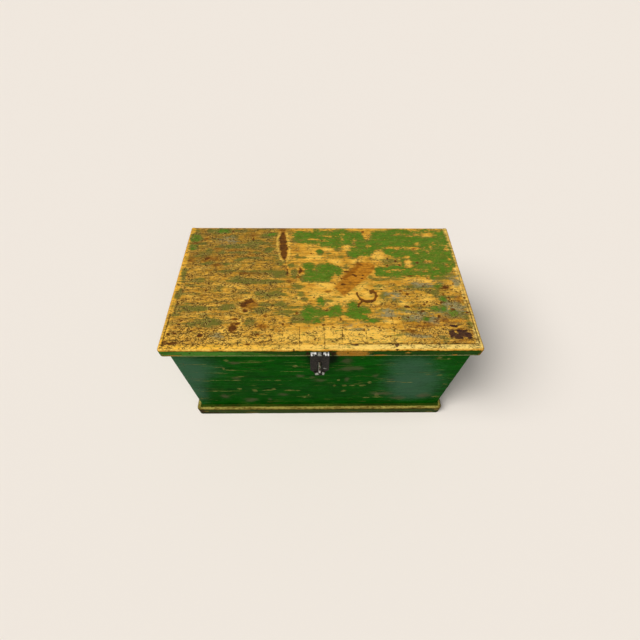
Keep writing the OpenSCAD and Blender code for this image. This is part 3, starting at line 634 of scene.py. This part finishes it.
# Brightest bare ochre
BRIGHT = (
    (-51, 79, 3.5, 14, 0), (-69, 64, 2.4, 26, 4), (-49, 60, 3, 14, 0), (-57, 37, 5, 3, 0), (-15, 46, 9, 8, 0),
    (40, -98, 70, 16, 0), (-40, -102, 50, 10, 0), (-120, -106, 70, 6, 0), (90, -104, 30, 8, 0),
    (-4, 47, 8, 8, 0), (43, 67, 8, 9, 0), (12, 64, 12, 5, 0), (24, 38, 12, 6, 0), (56, 38, 12, 7, 0),
    (92, 48, 14, 15, 40), (136, 33, 8, 11, 0), (6, -12, 26, 8, 0), (2, -28, 26, 10, 0), (34, -38, 22, 10, 0),
    (60, -16, 14, 7, 35), (88, -16, 10, 8, 0), (44, -30, 12, 10, 0), (67, -29, 9, 9, 0), (52, -34, 6, 10, 0),
    (16, -46, 18, 6, 0), (84, -44, 10, 6, 0), (150, -3, 24, 6, 0), (177, 97, 10, 5, 0), (-108, -32, 18, 5, 0),
    (-92, -46, 7, 12, 0), (-128, -68, 10, 7, 0), (-106, -70, 8, 8, 0), (-130, -90, 18, 8, 0),
    (125, -62, 14, 9, 0), (118, -44, 12, 10, 0), (152, -38, 14, 10, 0), (-168, -62, 26, 5, 0),
    (-188, -29, 16, 6, 0), (-130, -12, 50, 6, 0), (-180, 22, 24, 7, 0), (-130, 30, 12, 8, 0),
    (-60, -36, 30, 4, 0), (-36, -36, 10, 5, 0), (98, -76, 20, 4, 0), (200, -18, 8, 12, 0),
)
# Brown shadows round the knots and the gouge, and brown fields
SCORCHES = (
    (-95, -46, 8, 10, 0), (-104, -48, 14, 13, 0), (-119, -72, 9, 4, 0), (-120, -86, 10, 13, -30),
    (-30, 18, 6, 9, 0), (-62, 106, 9, 12, 0), (10, -23, 9, 4, 0), (-80, -84, 13, 6, 0),
    (-78, -66, 6, 4, 0), (-34, -62, 4, 5, 0), (-34, 5, 6, 3, 0),
)
BROWNED = (
    (142, -83, 40, 10, 0), (122, -93, 22, 8, 0), (182, -17, 12, 7, 0), (199, -38, 11, 9, 0),
    (188, -90, 22, 6, 0), (190, -108, 22, 6, 0), (-168, 44, 22, 9, 0), (-178, 40, 10, 5, 0),
    (-200, 78, 10, 5, 0), (-163, 64, 12, 8, 0), (-140, 62, 30, 4, 0), (-108, 50, 16, 4, 0),
    (-110, 98, 12, 8, 0), (170, -76, 26, 8, 0), (-186, 88, 8, 10, 0), (-160, 28, 16, 6, 0),
    (-112, 12, 40, 5, 0), (-200, 40, 8, 14, 0), (206, -95, 5, 18, 0), (-47, -3, 10, 8, 0),
)
STAINS = (
    (181, -84.5, 7.5, 2.6, -4), (177, -97, 5.5, 6, 0), (183, -101, 7, 4, 0), (193, -97, 9.5, 6.6, 0),
    (198, -99, 5.5, 6, 0), (187, -93, 4, 3.6, 0), (99, -115.5, 3.6, 3.4, 0), (44, -113.5, 5, 1.8, 0),
)
# Small dark knots, nail-rust spots and pits: x, y, half length, half width, turn
KNOTS = (
    (-102, -41, 8.5, 4.8, 12), (-110, -48, 4.8, 5, 0), (-107, -58, 4.6, 3, 0), (-119, -72, 6.5, 2.2, 0),
    (-114, -80, 4, 3, 0), (-120, -88, 5.5, 8, -25), (-53, -81, 3.2, 3.2, 0), (-162, -99, 4.8, 3.8, 0),
    (-196, -111, 11, 2.2, 5), (-208, -110, 4, 5, 0), (-99, -113, 5.5, 2.2, 8), (-109, 88, 2.4, 4.6, 0),
    (-143, 105, 2.4, 2.6, 0), (71, 106, 3, 2.6, 0), (149, 66, 5, 2, 6), (137, 8, 7, 1.8, 14),
    (151, 35, 3.4, 2.6, 0), (-31, 18, 2.8, 8, 0), (33, -9, 4.5, 2, -8), (31, 2, 2.4, 2, 0),
    (52, 8, 2.2, 3, 30), (64, 9, 2.4, 2, 0), (62, 3, 2, 1.8, 0), (40, 16, 5, 1.6, 10),
    (21, -8, 2, 1.6, 0), (49, 10, 2, 1.6, 0), (105, 44, 2, 2, 0), (117, 38, 2.4, 3, 0), (122, 30, 3, 2.4, 0),
    (103, 28, 2.4, 3, 0), (126, -28, 3, 3, 30), (117, -22, 3.4, 2, 0), (152, -12, 2.4, 2, 0),
    (184, -35, 3, 2.4, 0), (207, -35, 3, 3, 0), (172, -44, 2.6, 2.6, 0), (147, -47, 3, 2, 20),
    (152, -42, 2.6, 2, 0), (198, -8, 2, 2.4, 0), (178, -29, 2.4, 2.4, 0), (122, -51, 5, 2, -10),
    (143, -59, 4, 2, 0), (164, -68, 3, 2.6, 0), (120, -69, 1.8, 2.4, 0), (108, -71, 2, 1.6, 0),
    (89, -19, 2, 1.6, 0), (7, -57, 2.6, 2, 0), (-35, -36, 2.4, 1.4, 0), (-10, -34, 2.6, 1.2, 0),
    (-37, -121, 2, 1.8, 0), (3, -82, 3, 2, 20), (16, -86, 5, 1.6, -15), (58, -91, 1.8, 3, 0),
    (79, -86, 1.8, 2, 0), (92, -102, 2, 2, 0), (66, -103, 2, 1.8, 0), (-88, -97, 5, 1.4, 0),
    (-94, -103, 4, 1.2, 0), (-15, 55, 2.4, 2, 0), (3, 84, 2, 2, 0), (-68, -100, 1.2, 4, 40),
    (-145, -91, 2, 1.6, 0), (-175, -92, 2, 2, 0), (-167, -21, 3, 2, 0), (205, -62, 4, 2, 0),
    (-192, -75, 4, 2, 40), (-195, -82, 3, 2, 0), (-198, -95, 6, 1.6, -35), (-206, -97, 5, 1.6, -40),
    (186, -56, 4, 3, 0), (184, -16, 6, 2.4, 0), (-176, 43, 5, 3, 0), (-165, 86, 2, 2.4, 0), (-110, 58, 5, 1.4, 0),
)
SPIKE_KNOT = (
    (-60, 104), (-64, 101), (-66.5, 90), (-66, 76), (-64.5, 62), (-61.5, 50), (-58.5, 42), (-56, 39),
    (-53.5, 42), (-51.5, 52), (-51.5, 62), (-53, 74), (-54.5, 86), (-56, 97),
)
GOUGE = (
    (19, -14), (27, -24), (34, -33), (38, -27), (46, -19), (63, -3), (72, 6), (80, 16), (88, 26),
    (98, 34), (107, 46), (105, 54), (98, 60), (86, 56), (72, 46), (60, 38), (48, 24), (38, 9), (28, -4),
)
STAINED_GOUGE = (
    (19, -14), (27, -24), (34, -33), (38, -27), (46, -19), (63, -3), (72, 6), (82, 20), (84, 30),
    (74, 36), (64, 36), (54, 28), (46, 19), (38, 9), (28, -4),
)
# Painted shadow under the gouge's upper-left lip, drawn as a broad brown stroke
GOUGE_LIP_SHADOW = ((36, 5), (49, 19), (59, 31))
HOOK_ARM = ((53, -24), (53.5, -30), (56, -36))
HOOK = (
    (56, -36), (61, -40.5), (67, -42), (73, -41), (78, -37), (80.5, -31),
    (79.5, -26), (77, -22.5), (74, -23), (73, -25.5),
)
HOOK_TAIL = ((59, -40), (56, -45), (53, -50))
CRACK = ((-55, 40), (-53, 30), (-51, 20), (-50, 8))
# Cracks in the lid's paint, over its joints and across its front: how dark, then the line
JOINTS = (
    (1.0, (30, -112.4), (210, -112.6)), (0.35, (-60, -112.8), (30, -112.4)),
    (0.5, (-209, -113.4), (-60, -112.8)), (1.0, (-209.4, -114), (-208.8, -62)),
    (0.7, (-208.8, -62), (-208.2, 112)), (1.0, (209.4, -113), (208.8, -40)),
    (0.8, (208.8, -40), (208.4, 112)),
    (0.82, (3, -84), (4, -121)), (0.75, (98, -62), (99, -84)), (0.82, (99, -84), (97, -112)),
    (0.82, (-30, -84), (-29, -120)), (0.75, (-52, -92), (-53, -112)), (0.82, (28, -88), (27, -121)),
    (0.75, (60, -90), (61, -112)), (0.82, (144, -112), (145, -121)), (0.82, (-96, -98), (-97, -121)),
)


def inside(x, y, outline):
    """How many mm a point is inside a closed outline; negative outside it."""
    nearest = np.full_like(x, WHOLE)
    within = np.zeros(len(x), bool)
    for (ax, ay), (bx, by) in zip(outline, outline[1:] + outline[:1]):
        right, up = bx - ax, by - ay
        share = np.clip(((x - ax) * right + (y - ay) * up) / (right * right + up * up), 0, 1)
        nearest = np.minimum(nearest, np.hypot(x - ax - share * right, y - ay - share * up))
        if by != ay:
            within ^= ((ay > y) != (by > y)) & (x < ax + (y - ay) * right / up)
    return np.where(within, nearest, -nearest)


def within_ovals(x, y, marks):
    """How many mm a point is inside the nearest of several ovals; negative outside them."""
    found = np.full_like(x, -WHOLE)
    for px, py, long, wide, turn in marks:
        found = np.maximum(found, dab(x, y, (px, py), (long, wide), turn) * min(long, wide))
    return found


def field(x, y, patches):
    """The sum of soft ovals, each (x, y, half length, half width, strength)."""
    total = np.zeros_like(x)
    for px, py, long, wide, strength in patches:
        total += strength * eased(dab(x, y, (px, py), (long, wide)) + 0.15, 0.9)
    return total


def draw_lid(mesh):
    """Draws the wear of the lid's top, and sinks its knots, gouge and cracks."""
    points = corners_mm(mesh)
    x, y = wandering(points, (0, 1), 8, 1.5)
    long_x, long_y = wandering(points, (0, 1), 20, 4)
    green = np.maximum.reduce([inside(x, y, outline) for outline in GREENS])
    green = np.maximum(green, within_ovals(x, y, GREEN_SPOTS))
    cover = np.minimum(green, -within_ovals(x, y, HOLES)) / 7
    draw(mesh, "cover", np.clip(cover + 0.1, -0.75, 0.6))
    draw(mesh, "veil", field(long_x, long_y, VEILS))
    draw_mark(mesh, "ash", dabs(long_x, long_y, ASH))

    from_edge = np.minimum(LID_HALF - np.abs(points[:, 0]), points[:, 1] - LID_FRONT)
    rim = eased(9 - from_edge, 4)
    left = eased(-20 - long_x, 60)
    back = eased(long_y + 20, 90)
    front = eased(-78 - long_y, 14)
    right_front = eased(long_x - 85, 50) * eased(6 - long_y, 30)
    corner = eased(dab(long_x, long_y, (-195, -92), (70, 30)), 0.6)
    draw(mesh, "soil", 0.12 + 0.36 * left + 0.42 * left * back + 0.35 * right_front - 0.45 * front - 0.4 * rim)
    cracked = 0.2 + 0.38 * left + 0.28 * right_front + 0.25 * corner + 0.2 * front - 0.3 * rim
    draw(mesh, "cracked", cracked)
    strip = eased(9.5 - points[:, 1] + LID_FRONT, 1.5)
    draw(mesh, "rim", np.maximum(strip, 0.5 * eased(9.5 - from_edge, 1.5) + 0.3 * front))

    spike = inside(x, y, SPIKE_KNOT) / 4
    hook = np.maximum(stroke(x, y, HOOK, 5.8), stroke(x, y, HOOK_TAIL, 4.2))
    hook = np.maximum(hook, stroke(x, y, HOOK_ARM, 3.6))
    crack = stroke(x, y, CRACK, 1.8)
    knots = np.maximum.reduce([dabs(x, y, KNOTS), spike, hook * 0.8, crack * 0.6])
    halo = 0.9 - 2.2 * np.abs(np.maximum(dabs(x, y, KNOTS[:6]), spike * 0.6) + 0.40)
    light = dabs(long_x, long_y, BRIGHT) - 0.4 * left + 0.3 * front
    draw_mark(mesh, "bright", np.maximum(light, halo))
    # The painted shadow under the gouge's upper-left lip
    lip = stroke(x, y, GOUGE_LIP_SHADOW, 15)
    joints = np.full_like(x, -1)
    for dark, start, end in JOINTS:
        joints = np.maximum(joints, stroke(points[:, 0], points[:, 1], (start, end), 3.4) - 1 + dark)
    draw_mark(mesh, "scar", inside(x, y, STAINED_GOUGE) / 4)
    brown = np.maximum.reduce([dabs(x, y, SCORCHES), dabs(long_x, long_y, BROWNED) * 0.6, lip])
    draw_mark(mesh, "browning_and_gouge_shadow", brown)
    draw_mark(mesh, "knot", knots)
    draw_mark(mesh, "stain", dabs(x, y, STAINS))
    draw_mark(mesh, "joint", joints)

    sunk = 0.30 * eased(knots, 0.5) + 0.45 * eased(inside(x, y, GOUGE), 4) + 0.3 * eased(hook, 0.7)
    sunk += 0.4 * eased(crack, 0.8) + 0.25 * eased(joints, 0.8)
    wave = np.array([noise.noise(Vector((p[0] / 90, p[1] / 22, 3))) for p in points])
    hollow = np.array([noise.noise(Vector((p[0] / 24, p[1] / 8, 9))) for p in points])
    sunk += eased(from_edge - 4, 8) * (0.18 + 0.10 * wave + 0.08 * hollow)
    lower(mesh, points, points[:, 2] > LID_TOP - 0.05, sunk)


def lower(mesh, points, chosen, depth):
    """Sinks the chosen points by depth in mm."""
    moved = points.copy()
    moved[:, 2] -= np.where(chosen, depth, 0)
    mesh.vertices.foreach_set("co", (moved * MM).astype(np.float32).ravel())
    mesh.update()


# Dry scratches on the front: x, z, half length, half width, turn
SCRATCHES = (
    (-134, 181, 4.5, 3.4, 0), (-142, 157, 1.8, 7, 0), (-131, 152, 13, 2.0, -2), (-150, 161, 8, 1.2, 0),
    (-38, 164, 4.5, 4, 0), (-42, 147, 20, 1.2, 0), (-130, 118, 8, 2.4, 0), (-150, 118, 40, 1.0, 0),
    (-66, 117, 6, 2.4, 0), (-90, 118, 30, 0.9, 0), (-131, 86, 4.5, 4, 0), (-160, 78, 44, 1.4, 0),
    (-172, 78, 12, 2.0, 0), (-107, 80, 4.5, 6.5, 15), (-85, 81, 11, 2.8, 4), (-76, 86, 4, 4.5, 0),
    (-50, 80, 10, 3.4, 0), (-37, 79, 5, 2.4, 0), (-20, 60, 2.2, 6, -15), (-26, 52, 2.4, 5, -25),
    (165, 187, 5, 4.5, 0), (180, 184, 3, 3, 0), (181, 133, 5, 2.6, 0), (22, 98, 3, 4.5, 0),
    (38, 97, 5, 3.6, 0), (51, 98, 5, 3.4, 0), (67, 98, 6, 3.6, 0), (77, 108, 3.2, 5.5, 0),
    (112, 111, 13, 1.8, 0), (136, 108, 14, 1.6, 0), (95, 61, 4.4, 8, 0), (78, 49, 8, 3, 0),
    (98, 51, 12, 2.2, 0), (198, 101, 5, 2.2, 0), (196, 52, 8, 3, 0), (38, 77, 5, 4, 0), (28, 117, 3, 4, 0),
)
# Fainter brownish and smoky rubs
SMOKED = (
    (36, 180, 10, 16, 0), (43, 153, 20, 9, 4), (55, 155, 9, 8, 0), (134, 48, 16, 9, 0), (175, 55, 18, 11, 0),
    (-160, 56, 9, 13, 0), (-118, 41, 16, 9, 0), (-86, 44, 6, 7, 0), (-62, 63, 11, 7, 0), (-32, 132, 9, 6, 0),
    (-128, 125, 10, 7, 0), (40, 120, 5, 10, 0), (-4, 118, 12, 10, 0), (84, 131, 6, 8, 0), (110, 119, 8, 5, 0),
    (-124, 174, 9, 5, 0), (104, 66, 24, 10, 0), (-12, 128, 6, 6, 0),
)
# Grime and the painted shadow of the hasp, behind it and along its sides
GRIME_AND_HASP_SHADOW = ((-1, 190, 27, 36, 0), (14, 190, 14, 24, 0))
# Soft patches of painted sheen, a bluish reflection of the lights: x, z, half length, half width, strength
PAINTED_SHEENS = (
    (-212, 160, 80, 60, 1.0), (-206, 110, 40, 66, 0.6), (-204, 60, 24, 46, 0.5), (122, 176, 46, 40, 0.5),
    (140, 138, 56, 60, 0.55), (158, 96, 52, 60, 0.6), (150, 60, 60, 34, 0.45), (118, 104, 40, 50, 0.3),
)


def draw_front(mesh):
    """Scratches, smoky rubbed patches, grime with the hasp's painted shadow and bluish painted sheen on the carcass
    front.
    """
    points = corners_mm(mesh)
    x, z = wandering(points, (0, 2), 10, 1.0)
    facing = points[:, 1] < -CARCASS_HALF_DEPTH + 1
    round_the_corner = eased(1 - (points[:, 1] + CARCASS_HALF_DEPTH) / 70, 1)
    for name, marks in (("scratch", SCRATCHES), ("smoke", SMOKED), ("grime_and_shading", GRIME_AND_HASP_SHADOW)):
        draw_mark(mesh, name, np.where(facing, dabs(x, z, marks), -1))
    draw(mesh, "painted_sheen", np.minimum(field(x, z, PAINTED_SHEENS), 1.1) * round_the_corner)


def draw_face(mesh, name, marks):
    """Ovals on an upright face, by x and z."""
    x, z = wandering(corners_mm(mesh), (0, 2), 8, 0.8)
    draw_mark(mesh, name, dabs(x, z, marks))


# ---------- pieces ----------


def joined_copy(node):
    """A CAD node's shape with its corners joined and each flat face whole."""
    shape = bmesh.new()
    shape.from_mesh(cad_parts[node].data)
    bmesh.ops.remove_doubles(shape, verts=shape.verts, dist=0.01 * MM)
    bmesh.ops.dissolve_limit(shape, angle_limit=math.radians(1), verts=shape.verts, edges=shape.edges)
    return shape


def middle_mm(edge):
    return (edge.verts[0].co + edge.verts[1].co) / 2 / MM


def ease_arrises(shape, width, shortest, segments=3, wanted=None):
    """Rounds the sharp edges that are longer than shortest, or only those wanted among them."""
    sharp = [
        e
        for e in shape.edges
        if e.is_manifold and e.calc_face_angle() > math.radians(30) and e.calc_length() > shortest * MM
        and (wanted is None or wanted(middle_mm(e)))
    ]
    bmesh.ops.bevel(
        shape, geom=sharp, offset=width * MM, offset_type="OFFSET", segments=segments, profile=0.5,
        affect="EDGES", clamp_overlap=True, material=-1,
    )


def at_back_end(place):
    return place.y > CARCASS_HALF_DEPTH - 0.2


def on_outer_corner(place):
    return abs(place.x) > CARCASS_HALF_WIDTH - 0.1 and abs(place.y) > CARCASS_HALF_DEPTH - 0.1


def cut_across(shape, faces, axis, pitch):
    """Cuts the faces into strips of about that pitch, and returns the strips."""
    direction = Vector([float(axis == k) for k in range(3)])
    reach = [v.co[axis] for f in faces for v in f.verts]
    low, high = min(reach), max(reach)
    count = max(1, round((high - low) / (pitch * MM)))
    left, done = list(faces), []
    for k in range(1, count):
        level = low + (high - low) * k / count
        edges = {e for f in left for e in f.edges}
        corners = {v for f in left for v in f.verts}
        cut = bmesh.ops.bisect_plane(
            shape, geom=[*left, *edges, *corners], dist=0.001 * MM,
            plane_co=direction * level, plane_no=direction,
        )
        pieces = [g for g in cut["geom"] if isinstance(g, bmesh.types.BMFace)]
        left = [f for f in pieces if f.calc_center_bounds()[axis] > level]
        done += [f for f in pieces if f.calc_center_bounds()[axis] <= level]
    return done + left


def grid_facing(shape, direction, pitches, least=100):
    """Cuts flat faces that look in a direction into a grid.

    The pitches are (axis, mm) pairs, and faces smaller than least, in square mm, stay as they are.
    """
    towards = Vector(direction)
    faces = [f for f in shape.faces if f.normal.dot(towards) > 0.99 and f.calc_area() > least * MM * MM]
    for axis, pitch in pitches:
        faces = cut_across(shape, faces, axis, pitch)


def batter(shape, seed, amount, size, spared=None):
    """Wears a piece unevenly: every point moves in along its normal by up to amount."""
    shape.normal_update()
    start = Vector((seed * 17.3, seed * 5.1, 0))
    for corner in shape.verts:
        if spared and spared(corner.co / MM):
            continue
        dent = noise.noise(corner.co / (size * MM) + start) + 0.5 * noise.noise(corner.co / (size * MM / 3))
        corner.co -= corner.normal * max(0.0, dent) * amount * MM


def add_piece(name, shape, body, nodes, materials, sharp=32):
    """Puts a finished shape into the scene in place of its CAD nodes."""
    mesh = bpy.data.meshes.new(name)
    shape.to_mesh(mesh)
    shape.free()
    if "custom_normal" in mesh.attributes:
        mesh.attributes.remove(mesh.attributes["custom_normal"])
    for material in materials:
        mesh.materials.append(material)
    mesh.shade_smooth()
    mesh.set_sharp_from_angle(angle=math.radians(sharp))
    piece = bpy.data.objects.new(name, mesh)
    bpy.context.collection.objects.link(piece)
    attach(piece, body)
    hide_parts(*nodes)
    return piece


def second_finish_facing(shape, *directions):
    """Gives the second finish to the faces that look in one of the directions."""
    for face in shape.faces:
        face.material_index = int(any(face.normal.dot(Vector(way)) > 0.9 for way in directions))


def make_lid_board(paint, wood):
    shape = joined_copy("lid_board")
    ease_arrises(shape, 0.8, 40, 3, at_back_end)
    second_finish_facing(shape, (0, 0, -1))
    grid_facing(shape, (0, 0, 1), ((0, 1.6), (1, 1.6)))
    piece = add_piece("lid_board_worn", shape, "lid", ["lid_board"], [paint, wood])
    draw_lid(piece.data)


def make_moulding(node, body, face_paint, outward, seed, top_paint=None, bare=(), rust=(), haze=()):
    """A moulding cut short along its run, with dents; a lid moulding's flat top is painted as the lid."""
    shape = joined_copy(node)
    ease_arrises(shape, 0.6, 3, 2, at_back_end)
    rows = [f for f in shape.faces if f.calc_area() > 20 * MM * MM]
    cut_across(shape, rows, 0 if outward[1] else 1, 2.5)
    grid_facing(shape, outward, ((2, 2),), 12)
    batter(shape, seed, 0.3, 24, lambda place: place.z > LID_TOP - 0.05)
    if top_paint:
        grid_facing(shape, (0, 0, 1), ((1 if outward[1] else 0, 2),), 8)
        second_finish_facing(shape, (0, 0, 1))
    for face in shape.faces:
        if face.normal.z < -0.9:
            face.material_index = 2
    piece = add_piece(node + "_worn", shape, body, [node], [face_paint, top_paint or face_paint, lid_pine])
    if top_paint:
        draw_lid(piece.data)
    draw_face(piece.data, "bare", bare)
    draw_face(piece.data, "rust", rust)
    draw_face(piece.data, "haze", haze)


def make_board(node, inward, outside, inside):
    """A board of the carcass, painted outside, bare inside and on its rim, with the front's marks."""
    shape = joined_copy(node)
    ease_arrises(shape, 0.9, 3, 3, on_outer_corner)
    ease_arrises(shape, 0.2, 3, 2)
    second_finish_facing(shape, inward, (0, 0, 1))
    grid_facing(shape, (0, -1, 0), ((0, 3), (2, 1.6)), 40)
    for side in (-1, 1):
        grid_facing(shape, (side, 0, 0), ((1, 4), (2, 4)), 40)
    piece = add_piece(node + "_painted", shape, "box", [node], [outside, inside])
    draw_front(piece.data)


def make_iron(node, body, material, width, shortest, seed, rubbed, dent=0.06):
    """A piece of ironwork with eased edges and hammer marks, rubbed bright with painted highlights in ovals by x and z.
    """
    shape = joined_copy(node)
    ease_arrises(shape, width, shortest, 2)
    for axis in (0, 2):
        cut_across(shape, shape.faces[:], axis, 1)
    batter(shape, seed, dent, 5)
    piece = add_piece(node + "_forged", shape, body, [node], [material], 40)
    draw_face(piece.data, "rub_and_highlight", rubbed)


def dress(nodes, material):
    """Gives CAD nodes that keep their own shape a finish."""
    for node in nodes:
        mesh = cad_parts[node].data
        mesh.materials.clear()
        mesh.materials.append(material)


low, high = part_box("lid_moulding_front")
LID_HALF, LID_FRONT, LID_TOP = high.x / MM, low.y / MM, high.z / MM
low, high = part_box("plinth_front")
PLINTH_HALF, PLINTH_FRONT, PLINTH_TOP = high.x / MM, low.y / MM, high.z / MM
CARCASS_HALF_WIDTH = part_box("right_end_board")[1].x / MM
CARCASS_HALF_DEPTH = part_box("back_board")[1].y / MM
LID_ROUND, PLINTH_ROUND = 4, 5.5

set_camera()
set_floor()
set_light()

lid_face = lid_paint()
lid_edge = edge_paint(
    "lid_edge", (LID_HALF, LID_FRONT), (LID_TOP - LID_ROUND, LID_ROUND), (0.42, 9), LID_TOP - 13.0,
    ("#143C05", "#27590E"), ("#C98F2A", "#F6C85E", "#A8660F"), "#A5A468",
)
plinth_edge = edge_paint(
    "plinth_edge", (PLINTH_HALF, PLINTH_FRONT), (PLINTH_TOP - PLINTH_ROUND, PLINTH_ROUND), (0.35, 1.35), -9,
    ("#1D3206", "#38500F"), ("#62561F", "#A59A4C", "#5F4A1C"), "#5F6A30",
)
body_face = body_paint()
lid_pine = pine("lid_pine", "#C79A63", "#A87B48", (70, 3.0, 9))
long_pine = pine("long_pine", "#C2935C", "#A37442", (70, 4.0, 4.0))
cross_pine = pine("cross_pine", "#C2935C", "#A37442", (4.0, 70, 4.0))
floor_pine = pine("floor_pine", "#B98C57", "#9A6F40", (70, 5.0, 9))
dark_iron = iron("dark_iron", ("#2B2826", "#45403C"), "#4B3026", 0.55, 0.52, 0.25)
screw_iron = iron("screw_iron", ("#55504A", "#857F75"), "#6A4630", 0.7, 0.42, 0.2)
# The hasp, barrel and staple irons take a pale colour for their painted highlights.
hasp_iron = iron("hasp_iron", ("#050402", "#332D27"), "#241A12", 0.1, 0.46, 0.2, "#9C9C92")
barrel_iron = iron("barrel_iron", ("#1E1B17", "#3C3832"), "#30251A", 0.3, 0.40, 0.1, "#FBFAF6")
worn_iron = iron("worn_iron", ("#8F8D88", "#B9B7B0"), "#5A4A3C", 0.95, 0.30, 0.05)
staple_iron = iron("staple_iron", ("#3A3428", "#5E5848"), "#4A3B30", 0.2, 0.40, 0.1, "#F4F1E8")

make_lid_board(lid_face, lid_pine)
patches = ((44, 213, 22, 8, 0), (30, 214, 14, 8, 0), (78, 209, 14, 1.6, 0), (114, 216, 6, 2.4, 0),
    (214, 215, 5, 9, 0), (-214, 212, 5, 4, 0), (-196, 210, 16, 1.4, 0), (180, 209, 9, 1.6, 0))
haze = ((-160, 214, 110, 14, 0), (-120, 209, 80, 3, 0))
# Rust spots; the two ovals either side of the hasp's barrel are rust and painted shadow of the hasp.
rust = ((16, 213, 6, 9, 0), (-18.5, 213, 4, 9, 0), (12, 219, 4, 3, 0), (-37, 220, 2, 3, 0), (99, 222, 3, 3, 0))
make_moulding("lid_moulding_front", "lid", lid_edge, (0, -1, 0), 1, lid_face, patches, rust, haze)
make_moulding("lid_moulding_left", "lid", lid_edge, (-1, 0, 0), 2, lid_face)
make_moulding("lid_moulding_right", "lid", lid_edge, (1, 0, 0), 3, lid_face)
chips = ((-204, 12, 9, 3, 0), (209, 15, 7, 6, 0), (196, 5, 8, 2, 0), (-120, 6, 14, 2, 0), (60, 5, 18, 1.6, 0))
browned = ((-213, 11, 13, 13, 0), (215, 4, 9, 7, 0), (-190, 4, 22, 4, 0), (150, 4, 40, 3.5, 0))
make_moulding("plinth_front", "box", plinth_edge, (0, -1, 0), 4, None, chips, browned)
make_moulding("plinth_left", "box", plinth_edge, (-1, 0, 0), 5)
make_moulding("plinth_right", "box", plinth_edge, (1, 0, 0), 6)
make_board("front_board", (0, 1, 0), body_face, long_pine)
make_board("back_board", (0, -1, 0), body_face, long_pine)
make_board("left_end_board", (1, 0, 0), body_face, cross_pine)
make_board("right_end_board", (-1, 0, 0), body_face, cross_pine)
# Painted highlights, with some rubbing, on the barrel's knuckles: x, z, half length, half width, turn
KNUCKLE_HIGHLIGHTS = (
    (-13.3, 216.4, 2.0, 3.0, 0), (-10.2, 217, 0.9, 2.2, 0), (-3.0, 216.6, 4.2, 2.8, 0), (4.9, 216.4, 1.5, 3.0, 0),
    (8.6, 216.4, 2.0, 2.8, 0), (-2.5, 218.3, 13.5, 1.2, 0),
)
# Painted highlights on the hasp's curled lip and a glint beside its slot, with some rubbing
LIP_HIGHLIGHTS = ((-6.6, 164, 3.6, 2.0, 0), (2.4, 164.6, 3.0, 2.0, 0), (4.4, 176.5, 3.8, 2.2, -20))
make_iron("hasp_leaf", "hasp", hasp_iron, 0.35, 0.8, 7, KNUCKLE_HIGHLIGHTS[1:3] + LIP_HIGHLIGHTS)
make_iron("hasp_fixed_leaf", "lid", barrel_iron, 0.25, 0.8, 8, KNUCKLE_HIGHLIGHTS, 0.03)
# The staple's bow is painted bright as a highlight.
make_iron("staple", "box", staple_iron, 0.1, 90, 9, ((-2.5, 174, 9, 20, 0),), 0.10)
dress(["bottom_board"], floor_pine)
dress(["hasp_pin", "hinge_pin_left", "hinge_pin_right"], worn_iron)
dress(["hinge_box_leaf_left", "hinge_box_leaf_right", "hinge_lid_leaf_left", "hinge_lid_leaf_right"], dark_iron)
dress(["hinge_box_screws", "hinge_lid_screws", "hasp_screws", "bottom_nails"], screw_iron)
dress(["lid_brads"], lid_edge)
dress(["plinth_brads"], plinth_edge)
